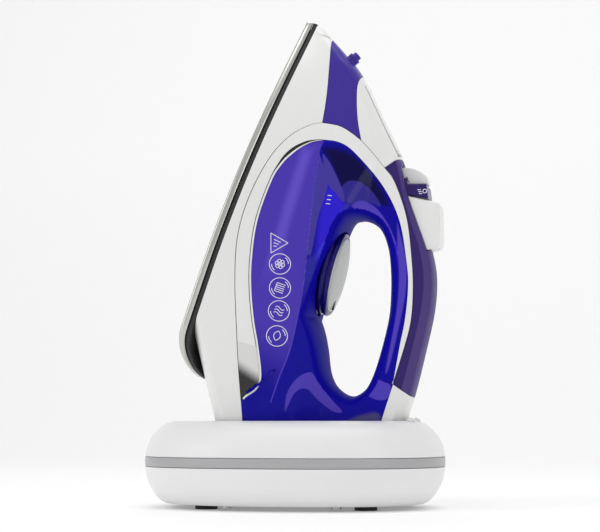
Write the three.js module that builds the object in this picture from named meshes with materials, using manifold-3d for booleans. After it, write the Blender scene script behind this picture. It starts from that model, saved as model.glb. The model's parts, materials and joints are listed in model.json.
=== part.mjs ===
// Cordless steam iron standing upright in its charging base.
//
// The base is an oval pod with a shaped pocket in its top. The iron stands on its heel in that
// pocket, leaning back a little. Iron pieces are drawn in the iron's own frame, a turned group:
// x runs from heel to nose along the soleplate, y runs from soleplate to handle, z is sideways.
// The iron's skin is one formula, skinHalfWidth(x, y): how far the skin stands from the middle
// plane at each place of the side view. Covers are side-view outlines cut out of that skin.

import * as THREE from 'three';
import { mergeVertices } from 'three/addons/utils/BufferGeometryUtils.js';
import Module from 'manifold-3d';

const wasm = await Module();
wasm.setup();

// ---------------------------------------------------------------- driving dimensions (mm)

const LEAN_DEG = 19.3; // soleplate's lean from vertical as the iron stands
const IRON_ORIGIN = [-72.4, 0, 82.1]; // heel end of the soleplate's underside
const IRON_LENGTH = 244;
const SOLE_HALF_WIDTH = 51.5;
const SOLE_THICKNESS = 4.2;
const HANDLE_HALF_WIDTH = 16;
const WALL = 2.6;
const GAP = 0.32; // clearance between neighbouring pieces
const HOUSING_LOW = 7.6; // lower edge of the housing above the soleplate's underside
const HEEL_ROUND = 12; // depth over which the skin rounds off at the heel
const FAR = 400; // well outside the iron
const HEEL_FLOOR_Z = 43; // height of the plane that the heel stands on
const HEEL_PLATE = 2.6;

const BASE_HALF_LENGTH = 95;
const BASE_HALF_DEPTH = 72;
const BASE_TOP_Z = 54.5;
const BASE_FLOOR_Z = 3;
const BAND_LOW_Z = 26;
const BAND_HIGH_Z = 32;
const POCKET_CLEARANCE = 1.6;

const DIAL_RADIUS = 27;
const DIAL_CENTRE = [93.5, 66.8]; // underside of the dial on its axis
const DIAL_TILT_DEG = 5; // dial axis leans towards the nose
const THUMB_REST = [155, 104]; // front end of the slope that the thumb controls stand on
const FLAP_HINGE = [179, 84.6];
const FLAP_TIP = [215, 50.2];
const FLAP_HALF_WIDTH = 9.5;
const CONTACT_X = 12; // centre of the three contacts, in the standing frame
const PIN_PLACES = [-7, 0, 7];

// ---------------------------------------------------------------- materials

function finish(color, roughness, metalness = 0, opacity = 1) {
  return new THREE.MeshStandardMaterial({
    color, roughness, metalness, opacity, transparent: opacity < 1,
  });
}

const whitePlastic = finish(0xeeeeec, 0.22);
const baseWhite = finish(0xf0f0ee, 0.3);
const greyBand = finish(0xbdbdbd, 0.35);
const purplePlastic = finish(0x3e2c96, 0.3);
const gripPlastic = finish(0x4a3a86, 0.45);
const tankPlastic = finish(0x1210a0, 0.08, 0, 0.75);
const blackPlastic = finish(0x141414, 0.3);
const darkPlastic = finish(0x2a2a2c, 0.6);
const dialBlue = finish(0x14106e, 0.15);
const dialSilver = finish(0xc2c4b8, 0.35, 0.5);
const steel = finish(0xb5b5b0, 0.3, 0.9);
const castAlloy = finish(0x9a9a98, 0.55, 0.8);
const brass = finish(0xc0a050, 0.35, 0.9);
const rubber = finish(0x303030, 0.85);

// ---------------------------------------------------------------- solids

function solid(geometry) {
  const bare = geometry.clone();
  bare.deleteAttribute('normal');
  bare.deleteAttribute('uv');
  const merged = mergeVertices(bare, 1e-4);
  const mesh = new wasm.Mesh({
    numProp: 3,
    vertProperties: new Float32Array(merged.attributes.position.array),
    triVerts: new Uint32Array(merged.index.array),
  });
  return new wasm.Manifold(mesh);
}

function toGeometry(body) {
  const mesh = body.getMesh();
  const geometry = new THREE.BufferGeometry();
  const position = new THREE.BufferAttribute(new Float32Array(mesh.vertProperties), 3);
  geometry.setAttribute('position', position);
  geometry.setIndex(new THREE.BufferAttribute(new Uint32Array(mesh.triVerts), 1));
  geometry.computeVertexNormals();
  return geometry;
}

// Closed body through a row of rings with the same number of [x, y, z] points each.
function loft(rings) {
  const count = rings[0].length;
  const position = rings.flat(2);
  const index = [];
  for (let ring = 0; ring + 1 < rings.length; ring += 1) {
    for (let k = 0; k < count; k += 1) {
      const a = ring * count + k;
      const b = ring * count + ((k + 1) % count);
      index.push(a, b, b + count, a, b + count, a + count);
    }
  }
  [0, rings.length - 1].forEach((ring, end) => {
    const centre = position.length / 3;
    const mean = [0, 1, 2].map((axis) => rings[ring].reduce((sum, p) => sum + p[axis], 0) / count);
    position.push(...mean);
    for (let k = 0; k < count; k += 1) {
      const a = ring * count + k;
      const b = ring * count + ((k + 1) % count);
      index.push(...(end === 0 ? [centre, b, a] : [centre, a, b]));
    }
  });
  if (signedVolume(position, index) < 0) {
    index.reverse();
  }
  const geometry = new THREE.BufferGeometry();
  geometry.setAttribute('position', new THREE.Float32BufferAttribute(position, 3));
  geometry.setIndex(index);
  return geometry;
}

function signedVolume(position, index) {
  const corner = (i) => new THREE.Vector3().fromArray(position, 3 * index[i]);
  let volume = 0;
  for (let i = 0; i < index.length; i += 3) {
    volume += corner(i).dot(corner(i + 1).cross(corner(i + 2))) / 6;
  }
  return volume;
}

// Plate with a side-view outline, from sideways place low to high.
function plate(outline, low, high) {
  const shape = new THREE.Shape(outline.map(([x, y]) => new THREE.Vector2(x, y)));
  const geometry = new THREE.ExtrudeGeometry(shape, { depth: high - low, bevelEnabled: false });
  return geometry.translate(0, 0, low);
}

function curve(points, steps) {
  const path = new THREE.SplineCurve(points.map(([x, y]) => new THREE.Vector2(x, y)));
  return path.getPoints(steps).map((p) => [p.x, p.y]);
}

// The same line moved sideways, to its left when distance is positive.
function offset(line, distance) {
  return line.map((point, i) => {
    const before = line[Math.max(i - 1, 0)];
    const after = line[Math.min(i + 1, line.length - 1)];
    const [dx, dy] = [after[0] - before[0], after[1] - before[1]];
    const length = Math.hypot(dx, dy);
    return [point[0] - (distance * dy) / length, point[1] + (distance * dx) / length];
  });
}

const reversed = (line) => [...line].reverse();

function box(low, high) {
  const size = high.map((value, axis) => value - low[axis]);
  const geometry = new THREE.BoxGeometry(...size);
  return geometry.translate(...low.map((value, axis) => value + size[axis] / 2));
}

// Round rod between two [x, y, z] points.
function rod(start, end, radius, sides = 16) {
  const from = new THREE.Vector3(...start);
  const along = new THREE.Vector3(...end).sub(from);
  const geometry = new THREE.CylinderGeometry(radius, radius, along.length(), sides);
  geometry.translate(0, along.length() / 2, 0);
  const turn = new THREE.Quaternion();
  turn.setFromUnitVectors(new THREE.Vector3(0, 1, 0), along.normalize());
  return geometry.applyQuaternion(turn).translate(...start);
}

// ---------------------------------------------------------------- scene graph

const model = new THREE.Group();
const base = new THREE.Group();
const iron = new THREE.Group();
model.add(base, iron);

const lean = THREE.MathUtils.degToRad(LEAN_DEG);
const [sinLean, cosLean] = [Math.sin(lean), Math.cos(lean)];
const ironTurn = new THREE.Matrix4().makeBasis(
  new THREE.Vector3(sinLean, 0, cosLean),
  new THREE.Vector3(cosLean, 0, -sinLean),
  new THREE.Vector3(0, 1, 0),
);
iron.quaternion.setFromRotationMatrix(ironTurn);
iron.position.set(...IRON_ORIGIN);

function part(parent, name, shape, material) {
  const geometry = shape.isBufferGeometry ? shape : toGeometry(shape);
  const mesh = new THREE.Mesh(geometry, material);
  mesh.name = name;
  parent.add(mesh);
  return mesh;
}

// Side-view place of a point given by its height and forward place in the standing frame.
function sideView(worldX, worldZ) {
  const [dx, dz] = [worldX - IRON_ORIGIN[0], worldZ - IRON_ORIGIN[2]];
  return [dx * sinLean + dz * cosLean, dx * cosLean - dz * sinLean];
}

// ---------------------------------------------------------------- the iron's skin

const clamp = THREE.MathUtils.clamp;

// Value at x of the broken line through [x, value] pairs in rising x.
function brokenLine(pairs, x) {
  const last = pairs.length - 1;
  if (x <= pairs[0][0]) return pairs[0][1];
  if (x >= pairs[last][0]) return pairs[last][1];
  const k = pairs.findIndex(([px]) => px > x);
  const [x0, y0] = pairs[k - 1];
  const [x1, y1] = pairs[k];
  return y0 + ((y1 - y0) * (x - x0)) / (x1 - x0);
}

// Top edge of the side view from heel to nose: grip, thumb rest, filler slope and nose.
const TOP_EDGE = [
  [-60, 146.5], [37, 144.8], [67, 142.2], [92.5, 139.4], [117, 133], [127.6, 125.6],
  [155, 104], [175, 90.5], [219.5, 47.7], [237, 20], [244, 7.5],
];
const topEdge = (x) => brokenLine(TOP_EDGE, x);

// Lower edge: level above the soleplate, rising steeply round the heel.
const HEEL_RISE = 0.625;
const heelEdge = (x) => Math.max(HOUSING_LOW, 15.5 + (8 - x) * HEEL_RISE);

// Height of a quarter circle of radius 1, from 0 at its edge to 1.
const quarterRound = (depth) => Math.sqrt(1 - (1 - clamp(depth, 0, 1)) ** 2);

// Half the soleplate's width: a boat shape, full at the middle, slightly drawn in at the heel.
function soleHalfWidth(x) {
  const widest = 74;
  if (x > widest) {
    const reach = clamp((IRON_LENGTH + 2 - x) / (IRON_LENGTH + 2 - widest), 0, 1);
    return SOLE_HALF_WIDTH * (1 - (1 - reach) ** 2) ** 1.15;
  }
  return SOLE_HALF_WIDTH - 3.2 * clamp((widest - x) / widest, 0, 2) ** 1.5;
}

// The skin leans in up to a crease, then steps in to the handle's width.
function skinHalfWidth(x, y, inset = 0) {
  const crease = 70 - 0.17 * (x - 20);
  const shoulder = Math.max(crease + 11, 68);
  const fullness = brokenLine(
    [[0, 1], [8, 0.985], [crease, 0.56], [shoulder, 0.38], [shoulder + 14, 0]], y);
  const across = HANDLE_HALF_WIDTH + (soleHalfWidth(x) - HANDLE_HALF_WIDTH) * fullness;
  const heelDepth = (x - 8) * 0.53 + (y - 15.5) * 0.848 - 1.2 * inset;
  return across * quarterRound(heelDepth / HEEL_ROUND);
}

// Radius of the round along the top edge.
const topRound = (x) => brokenLine([[100, 10], [128, 5], [176, 5], [190, 9], [225, 7], [244, 2]], x);

// Closed body of the whole skin, moved inwards by inset.
function skinBody(inset) {
  const stations = [-58, -40, -25, -10, 5, 12, 20, 28, 38, 55, 75, 95, 115, 130, 145, 160, 175,
    190, 205, 219, 229, 237, 242, 243.8];
  const wallRows = [0, 0.012, 0.05, 0.12, 0.25, 0.45, 0.7, 1];
  const capAngles = [25, 50, 68, 84].map(THREE.MathUtils.degToRad);
  const rings = stations.map((station) => {
    const x = Math.min(station, IRON_LENGTH - 0.2 - 1.6 * inset);
    const low = inset > 0 ? heelEdge(x) - 4 : heelEdge(x);
    const high = Math.max(topEdge(x) - 1.25 * inset, low + 1);
    const round = Math.min(topRound(x) * 1.25, 0.75 * (high - low));
    const side = [];
    wallRows.forEach((row) => {
      const y = low + (high - round - low) * row;
      side.push([y, skinHalfWidth(x, y, inset)]);
    });
    const across = side[side.length - 1][1];
    capAngles.forEach((angle) => {
      side.push([high - round * (1 - Math.sin(angle)), across * Math.cos(angle)]);
    });
    const half = side.map(([y, width]) => [x, y, Math.max(width - inset, 0.5)]);
    return [...half, ...reversed(half).map(([px, py, pz]) => [px, py, -pz])];
  });
  return solid(loft(rings));
}

const skin = skinBody(0);

// Everything under a level of the standing frame.
const below = (z) => {
  const [left, right] = [sideView(-FAR, z), sideView(FAR, z)];
  const [farLeft, farRight] = [sideView(-FAR, z - FAR), sideView(FAR, z - FAR)];
  return solid(plate([left, right, farRight, farLeft], -FAR, FAR));
};
const underHeel = below(HEEL_FLOOR_Z);
const underHeelPlate = below(HEEL_FLOOR_Z + HEEL_PLATE + GAP);
const hollow = skinBody(WALL);
const shellOfSkin = skin.subtract(hollow).subtract(underHeelPlate);
const wholeSkin = skin.subtract(underHeelPlate);

// A cover: the part of a body inside a side-view outline.
const cutOut = (body, outline) => body.intersect(solid(plate(outline, -70, 70)));

// ---------------------------------------------------------------- seams in the side view

const seamHousing = curve([[-42, 64.3], [-21.4, 57.2], [-9, 52.9], [18, 41.6], [41, 32.7],
  [70, 22.1], [96.7, 14.8], [122.6, 13], [149.4, 15.6], [166.9, 21.9], [177.8, 31],
  [181.3, 37]], 30);
const seamFront = curve([[181.3, 37], [182.8, 47], [181.4, 55], [178.3, 63.7]], 6);
const seamFiller = curve([[178.3, 63.7], [173.3, 72.8], [167, 82.4]], 5);
const seamGrip = curve([[167, 82.4], [160, 91.8], [141.3, 106], [117.3, 117.6], [100, 124.3],
  [82, 129.2], [66, 130.7], [40.6, 131.4]], 18);
const noseLine = curve([[181.3, 37], [194, 34.2], [208.6, 30], [238, 20.2]], 5);
const fillerLine = curve([[178.3, 63.7], [190, 57], [202.4, 51.6], [211.6, 48.5],
  [222, 47.2]], 8);
const podLine = [[167, 82.4], [178, 92.5]];
const gripEnd = [[40.6, 131.4], [36.3, 148]];
const tankLeft = curve([[-42, 64.3], [-21.4, 57.2], [-9, 52.9], [1.9, 49.1], [11, 54.5],
  [19.4, 54.3], [36, 46.8], [50, 39.5], [67, 32.2], [84.5, 26.6], [109, 21.6], [136, 20.8],
  [148, 22.8], [156, 26], [162.5, 30.2], [167.6, 35.2], [171, 41]], 34);
const tankRight = curve([[171, 41], [172.8, 51.5], [169.4, 63], [156, 84.8], [138.5, 102],
  [113.4, 115.7], [99, 121.3], [80.6, 125.6], [65, 127.7], [40.6, 131.4]], 24);
const tankRear = [[40.6, 131.4], [17.2, 131.8], [-20, 133]];
const handHole = curve([[64, 70.2], [92, 70.2], [124, 70.2], [131.5, 76.5], [132, 85.6], [128, 93],
  [118.5, 100.3], [107, 105.6], [95, 109.7], [80, 113.6], [64, 115.7], [46, 116.7],
  [34, 115.5], [27.4, 111.8], [24.6, 107.5], [25, 101.3], [28.5, 94], [36, 87.3], [49, 80.6],
  [58, 75]], 40);

// Thin slot along a seam, which leaves the clearance between two covers.
function slotAlong(line) {
  const strip = [...offset(line, GAP / 2), ...reversed(offset(line, -GAP / 2))];
  return solid(plate(strip, -90, 90));
}
const seamLines = [seamHousing, seamFront, seamFiller, seamGrip, noseLine, fillerLine, podLine,
  gripEnd, tankLeft, tankRight, tankRear];
const seams = seamLines.map(slotAlong).reduce((all, slot) => all.add(slot));
const seamRing = [...seamHousing, ...seamFront.slice(1), ...seamFiller.slice(1),
  ...seamGrip.slice(1)];

// ---------------------------------------------------------------- soleplate and heating

const soleLift = (x) => 10 * clamp((30 - x) / 26, 0, 1) ** 2;
const heelCornerRound = (x) => quarterRound((x - 3.4) / 30);
const EDGE_BEVEL = 1.4;

// Slab in the soleplate's outline, grown by a distance, between two heights.
function soleSlab(low, high, grow, start = 4, end = IRON_LENGTH - 0.4) {
  const stations = [4, 5.5, 8, 12, 17, 23, 30, 42, 60, 85, 110, 135, 160, 180, 200, 215, 228,
    236, 241, IRON_LENGTH - 0.4].filter((x) => x >= start && x <= end);
  const rings = stations.map((x) => {
    const width = Math.max((soleHalfWidth(x) + grow) * heelCornerRound(x), 1.2);
    const [bottom, top] = [low + soleLift(x), high + soleLift(x)];
    const bevel = Math.min(EDGE_BEVEL, width / 2);
    const eased = bottom + 1.2;
    return [[x, bottom, -width + bevel], [x, bottom, width - bevel], [x, eased, width],
      [x, top, width], [x, top, -width], [x, eased, -width]];
  });
  return solid(loft(rings));
}

// Steam ports: two rows that follow the plate's edge, meeting at the nose.
const PORT_INSET = 9;
let soleplate = soleSlab(0, SOLE_THICKNESS, 0.4);
[200, 182, 162, 142, 120].forEach((x) => {
  [-1, 1].forEach((side) => {
    const z = side * (soleHalfWidth(x) - PORT_INSET);
    soleplate = soleplate.subtract(solid(rod([x, -2, z], [x, 8, z], 1.8, 6)));
  });
});
part(iron, 'soleplate', soleplate, steel);

const SKIRT_TOP = 7.2;
const skirtHole = soleSlab(2, 12, -7, 30, 215);
const skirt = soleSlab(SOLE_THICKNESS + GAP, SKIRT_TOP, -1.2).subtract(skirtHole);
part(iron, 'sole_skirt', skirt, darkPlastic);

// Heating element: a round bar cast along the soleplate, bent back on itself at the nose.
const elementPath = new THREE.CatmullRomCurve3([
  [46, 29], [75, 33], [120, 31], [165, 20], [188, 7], [188, -7], [165, -20], [120, -31],
  [75, -33], [46, -29]].map(([x, z]) => new THREE.Vector3(x, 8.6, z)));
const elementSection = new THREE.Shape().absarc(0, 0, 3.4, 0, 2 * Math.PI);
const heatingElement = new THREE.ExtrudeGeometry(elementSection, {
  steps: 26, curveSegments: 4, extrudePath: elementPath, bevelEnabled: false,
});
part(iron, 'heating_element', heatingElement, castAlloy);

// Cover of the steam chamber, thermostat and thermal fuse, all on the soleplate's back.
const chamberOutline = curve([[112, -20], [140, -19], [160, -13], [170, 0], [160, 13],
  [140, 19], [112, 20]], 14);
const chamber = new THREE.ExtrudeGeometry(
  new THREE.Shape(chamberOutline.map(([x, z]) => new THREE.Vector2(x, z))),
  { depth: 5, bevelEnabled: false });
chamber.rotateX(-Math.PI / 2).translate(0, SOLE_THICKNESS + GAP, 0);
part(iron, 'steam_chamber_cover', chamber, castAlloy);

part(iron, 'thermostat', box([82, 4.6, -11], [105, 11.5, 11]), castAlloy);
part(iron, 'thermal_fuse', rod([60, 7.5, -8], [60, 7.5, 8], 2.6, 10), whitePlastic);

// Heat shield over the soleplate, with holes for the thermostat's shaft and the steam valve.
const VALVE_PLACE = [162, 10.5]; // along and sideways
const VALVE_RADIUS = 1.6;
let heatShield = soleSlab(13.2, 14.6, -7.5, 42, 200);
const dialAxis = [Math.sin(THREE.MathUtils.degToRad(DIAL_TILT_DEG)),
  Math.cos(THREE.MathUtils.degToRad(DIAL_TILT_DEG))];
const alongDial = (distance) => [DIAL_CENTRE[0] + distance * dialAxis[0],
  DIAL_CENTRE[1] + distance * dialAxis[1], 0];
const shaftTunnel = solid(rod(alongDial(-64), alongDial(10), 5.2, 16));
const alongValve = (low, high, radius, sides = 10) => rod(
  [VALVE_PLACE[0], low, VALVE_PLACE[1]], [VALVE_PLACE[0], high, VALVE_PLACE[1]], radius, sides);
const valveTunnel = solid(alongValve(4, 99, VALVE_RADIUS + 0.6));
heatShield = heatShield.subtract(shaftTunnel).subtract(valveTunnel);
part(iron, 'heat_shield', heatShield, steel);

// ---------------------------------------------------------------- outer covers

// Lower housing, from the nose round to the heel, over the soleplate and its skirt.
const housingOutline = [...seamHousing, ...noseLine.slice(1), [252, 15], [252, -10], [-70, -10],
  [-70, 66]];
const cover = (body, outline) => cutOut(body, outline).subtract(seams);
const skirtSpace = soleSlab(0, SKIRT_TOP + GAP, 0.8);
part(iron, 'lower_housing', cover(shellOfSkin, housingOutline).subtract(skirtSpace),
  whitePlastic);

// Front cover with the spray nozzle pushed into it.
const frontOutline = [...noseLine, [262, 20], [262, 47.2], ...reversed(fillerLine),
  ...reversed(seamFront).slice(1, -1)];
const NOZZLE_SPOT = [226, 35.5];
const NOZZLE_RADIUS = 4;
const nozzleAxis = [0.86, 0.51];
const alongNozzle = (distance) => [NOZZLE_SPOT[0] + distance * nozzleAxis[0],
  NOZZLE_SPOT[1] + distance * nozzleAxis[1], 0];
const nozzleHole = solid(rod(alongNozzle(-12), alongNozzle(14), NOZZLE_RADIUS + 0.4, 16));
part(iron, 'front_cover', cover(shellOfSkin, frontOutline).subtract(nozzleHole), purplePlastic);

const nozzle = solid(rod(alongNozzle(-7), alongNozzle(5.2), NOZZLE_RADIUS, 16));
const nozzleTip = solid(rod(alongNozzle(5), alongNozzle(7.6), 2.8, 12));
const nozzleBore = solid(rod(alongNozzle(3), alongNozzle(9), 0.9, 8));
part(iron, 'spray_nozzle', nozzle.add(nozzleTip).subtract(nozzleBore), purplePlastic);

// Filler cover with the slot for its flap, which runs down the slope towards the nose.
const slope = Math.hypot(FLAP_TIP[0] - FLAP_HINGE[0], FLAP_TIP[1] - FLAP_HINGE[1]);
const slopeAlong = [(FLAP_TIP[0] - FLAP_HINGE[0]) / slope, (FLAP_TIP[1] - FLAP_HINGE[1]) / slope];
const slopeOut = [-slopeAlong[1], slopeAlong[0]];
const onSlope = (along, out) => [
  FLAP_HINGE[0] + along * slopeAlong[0] + out * slopeOut[0],
  FLAP_HINGE[1] + along * slopeAlong[1] + out * slopeOut[1]];
const flapOutline = (start, low) => [onSlope(start, low), onSlope(slope + 12, low),
  onSlope(slope + 12, 14), onSlope(start, 14)];
const FLAP_SLOT_START = -3; // behind the hinge, so that the flap's heel has room to turn
const FLAP_START = -2.1;
const FLAP_HEEL_SWEEP = 3.4; // how far the flap's heel reaches as it turns about the pin
const turningRoom = [onSlope(FLAP_SLOT_START, -FLAP_HEEL_SWEEP),
  onSlope(FLAP_HEEL_SWEEP, -FLAP_HEEL_SWEEP), onSlope(FLAP_HEEL_SWEEP, 14),
  onSlope(FLAP_SLOT_START, 14)];
const flapSlot = [flapOutline(FLAP_SLOT_START, -1.6), turningRoom]
  .map((outline) => solid(plate(outline, -FLAP_HALF_WIDTH - GAP, FLAP_HALF_WIDTH + GAP)))
  .reduce((slot, room) => slot.add(room));

const fillerOutline = [...fillerLine, [240, 60], [240, 110], [190, 103.5],
  ...reversed(podLine), ...reversed(seamFiller).slice(1, -1)];
part(iron, 'filler_surround', cover(shellOfSkin, fillerOutline).subtract(flapSlot),
  whitePlastic);

// Flap on its pin, and the neck that leads from it down into the tank.
const flapBody = cover(cutOut(skin, flapOutline(FLAP_START, -1.2)), fillerOutline)
  .intersect(solid(plate(flapOutline(FLAP_START, -1.2), -FLAP_HALF_WIDTH, FLAP_HALF_WIDTH)));
const PIN_RADIUS = 1;
const pinSpot = onSlope(0, 0.6);
const pinHole = solid(rod([...pinSpot, -FAR], [...pinSpot, FAR], PIN_RADIUS + 0.35, 10));
part(iron, 'filler_flap', flapBody.subtract(pinHole), whitePlastic);
part(iron, 'flap_pin', rod([...pinSpot, -9], [...pinSpot, 9], PIN_RADIUS, 10), steel);

const NECK_RADIUS = 7.6;
const neckLow = [157, 79.5];
const upward = [cosLean, -sinLean]; // the standing frame's up, seen in the side view
const alongNeck = (distance) => [neckLow[0] + distance * upward[0],
  neckLow[1] + distance * upward[1], 0];
const neckOuter = solid(rod(alongNeck(0), alongNeck(34), NECK_RADIUS, 20))
  .intersect(skinBody(2 * WALL));
const neckBore = solid(rod(alongNeck(-4), alongNeck(40), NECK_RADIUS - 1.4, 20));
const neckHole = solid(rod(alongNeck(-1), alongNeck(60), NECK_RADIUS + GAP, 20));
part(iron, 'filler_neck', neckOuter.subtract(neckBore), whitePlastic);

// Ring: one hoop round the tank, a thin skin beside the body and solid along the handle.
const handleOnly = solid(box([-80, 96, -FAR], [FAR, FAR, FAR]));
const ringSkin = shellOfSkin.add(wholeSkin.intersect(handleOnly));
const WEDGE_TOP_X = 34.8;
const pastWedge = ([x]) => x > WEDGE_TOP_X;
const tankSeam = [...tankLeft, ...tankRight.slice(1, -1)];
const ringOutline = [...seamRing.filter(pastWedge), ...reversed(tankSeam.filter(pastWedge))];

// Pumps under the thumb buttons, along the buttons' travel.
const pressIn = [-0.623, -0.783];
const PUMP_TOP = [147.5, 111.4];
const alongPump = (distance, z) => [PUMP_TOP[0] + distance * pressIn[0],
  PUMP_TOP[1] + distance * pressIn[1], z];
const PUMP_SIDE = 6.6;
const PUMP_RADIUS = 5;
const PUMP_START = 7.3; // leaves the buttons room for their travel
const PUMP_LENGTH = 17;
const pumpTunnels = [-PUMP_SIDE, PUMP_SIDE].map((z) => (
  solid(rod(alongPump(0.5, z), alongPump(PUMP_LENGTH + GAP, z), PUMP_RADIUS + GAP, 16))));

const stripEdge = tankLeft.slice(10);
const stripBetween = (outer, inner) => [...offset(stripEdge, -outer),
  ...reversed(offset(stripEdge, inner))];
const STRIP_OUTER = 0.4;
const STRIP_INNER = 1.3;
const stripSpace = solid(plate(stripBetween(STRIP_OUTER + GAP, STRIP_INNER + GAP), -90, 90));
const ringHoles = pumpTunnels[0].add(pumpTunnels[1]).add(neckHole).add(valveTunnel);
const bodyRing = cover(ringSkin, ringOutline).subtract(ringHoles).subtract(stripSpace);
part(iron, 'body_ring', bodyRing, whitePlastic);

// Black bezel beside the tank: a wedge across the heel that runs up each side as a fine strip.
const inWedge = ([x]) => x > 2.5 && x < WEDGE_TOP_X - GAP;
const wedgeOutline = [...seamHousing.filter(inWedge), ...reversed(tankLeft.filter(inWedge))];
const wedgeHollow = skinBody(3).intersect(solid(box([-50, 0, -FAR], [30, FAR, FAR])));
const bezelWedge = cutOut(wholeSkin, wedgeOutline).subtract(wedgeHollow);
const bezelSides = cutOut(shellOfSkin, stripBetween(STRIP_OUTER, STRIP_INNER));
const bezel = bezelWedge.add(bezelSides).subtract(slotAlong(seamHousing))
  .subtract(slotAlong(tankLeft.slice(0, 10)));
part(iron, 'tank_bezel', bezel, blackPlastic);

// Space for the contact block that stands on the heel.
const contactLow = [CONTACT_X - 13, -11, HEEL_FLOOR_Z + 0.3];
const contactHigh = [CONTACT_X + 13, 11, HEEL_FLOOR_Z + 12];
const CONTACT_TOP_Z = HEEL_FLOOR_Z + 13;
const standing = (geometry) => {
  const back = new THREE.Matrix4().makeTranslation(...IRON_ORIGIN).multiply(ironTurn).invert();
  return geometry.clone().applyMatrix4(back);
};
const grown = (low, high, by) => [low.map((v) => v - by), high.map((v) => v + by)];
const contactSpace = solid(standing(box(...grown(contactLow, contactHigh, GAP))))
  .add(solid(standing(box([CONTACT_X - 3, -10, 50], [CONTACT_X + 3, 10, CONTACT_TOP_Z + GAP]))));

// Clear water tank and the lower part of the handle loop, in one moulding.
const tankOutline = [...tankLeft, ...tankRight.slice(1), ...tankRear.slice(1), [-60, 134],
  [-60, 70]];
const cavityOutline = [...offset(tankLeft.filter(([x]) => x > 0), 4.2), [167, 50], [160, 68],
  [150, 81], [139, 82], [134.5, 68], [128, 56.5], [62, 59.5], [46, 70], [28, 82], [12, 86],
  [-2, 84]];
const tankHollow = skinBody(WALL + 0.2);
const postOutline = solid(rod(alongDial(-64), alongDial(10), 7.4, 20));
const valvePost = solid(alongValve(4, 99, 4.2, 14));
const floorOfTank = below(CONTACT_TOP_Z + 3.5);
const tankCavity = cutOut(tankHollow, cavityOutline).subtract(floorOfTank)
  .subtract(postOutline).subtract(valvePost);
const DIAL_WELL_RADIUS = 30.5;
const dialWell = solid(rod(alongDial(-5), alongDial(20), DIAL_WELL_RADIUS, 32));
const tank = cover(wholeSkin, tankOutline).subtract(solid(plate(handHole, -70, 70)))
  .subtract(tankCavity).subtract(shaftTunnel).subtract(valveTunnel).subtract(neckHole)
  .subtract(ringHoles).subtract(dialWell).subtract(stripSpace).subtract(contactSpace);
part(iron, 'water_tank', tank, tankPlastic);

// ---------------------------------------------------------------- handle top and heel

// Grip cover, with wells for the buttons, the control pod and the slider.
const gripOutline = [...seamGrip, ...gripEnd.slice(1), [100, 160], [190, 120],
  ...reversed(podLine).slice(0, -1)];
const gripHollow = skinBody(WALL + 0.4);
const forward = [0.783, -0.623]; // down the thumb rest towards the nose
const outward = [0.623, 0.783];
const onThumbRest = (along, out) => [
  THUMB_REST[0] + along * forward[0] + out * outward[0],
  THUMB_REST[1] + along * forward[1] + out * outward[1]];
const BUTTON_HALF_WIDTH = 12.3;
const buttonWell = solid(plate([onThumbRest(-35.5, -6.4), onThumbRest(2.5, -6.4),
  onThumbRest(2.5, 40), onThumbRest(-35.5, 40)], -BUTTON_HALF_WIDTH - GAP, BUTTON_HALF_WIDTH + GAP));
const podOutline = [onThumbRest(2.9, -3), onThumbRest(11, -3), onThumbRest(13.2, 9),
  onThumbRest(4.2, 12.6), onThumbRest(2.9, 9)];
const POD_HALF_WIDTH = 12.5;
const podWell = solid(plate([onThumbRest(2.5, -3.4), onThumbRest(13.6, -3.4),
  onThumbRest(13.6, 40), onThumbRest(2.5, 40)], -POD_HALF_WIDTH - GAP, POD_HALF_WIDTH + GAP));
const sliderOutline = [onThumbRest(13.6, -1.6), onThumbRest(20.6, -1.6), onThumbRest(20.6, 2),
  onThumbRest(19.5, 6.5), onThumbRest(16.5, 9.6), onThumbRest(13.6, 10.6)];
const SLIDER_HALF_WIDTH = 6.5;
const SLIDER_TRAVEL = 5;
const sliderReach = SLIDER_HALF_WIDTH + SLIDER_TRAVEL + GAP;
const sliderWell = solid(plate([onThumbRest(13.2, -2), onThumbRest(21, -2), onThumbRest(21, 40),
  onThumbRest(13.2, 40)], -sliderReach, sliderReach));
const wells = buttonWell.add(podWell).add(sliderWell);
const gripCover = cover(skin.subtract(gripHollow), gripOutline).subtract(wells)
  .subtract(ringHoles).subtract(valveTunnel);
part(iron, 'grip_cover', gripCover, gripPlastic);

part(iron, 'control_pod', plate(podOutline, -POD_HALF_WIDTH, POD_HALF_WIDTH), purplePlastic);
part(iron, 'steam_slider', plate(sliderOutline, -SLIDER_HALF_WIDTH, SLIDER_HALF_WIDTH),
  whitePlastic);

// Two thumb buttons side by side, each with its plunger down into its pump.
const buttonOutline = [onThumbRest(2.1, -2.6), [157, 120.8], [155.5, 122.4], [150.5, 124.3],
  [136.5, 129.3], [131.6, 130.4], [130.4, 129.4], onThumbRest(-34.6, -2.6)];
const STEM_RADIUS = 2;
['shot_button', 'spray_button'].forEach((name, i) => {
  const side = i === 0 ? -1 : 1;
  const [inner, outer] = [0.25 * side, BUTTON_HALF_WIDTH * side];
  const cap = solid(plate(buttonOutline, Math.min(inner, outer), Math.max(inner, outer)));
  const z = side * PUMP_SIDE;
  const stem = solid(rod(alongPump(-9, z), alongPump(9.2, z), STEM_RADIUS, 10));
  part(iron, name, cap.add(stem), whitePlastic);
});
['shot_pump', 'spray_pump'].forEach((name, i) => {
  const z = (i === 0 ? -1 : 1) * PUMP_SIDE;
  const barrel = solid(rod(alongPump(PUMP_START, z), alongPump(PUMP_LENGTH, z), PUMP_RADIUS, 14));
  const bore = solid(rod(alongPump(0, z), alongPump(PUMP_LENGTH - 3, z), STEM_RADIUS + 0.4, 10));
  part(iron, name, barrel.subtract(bore), darkPlastic);
});

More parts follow.
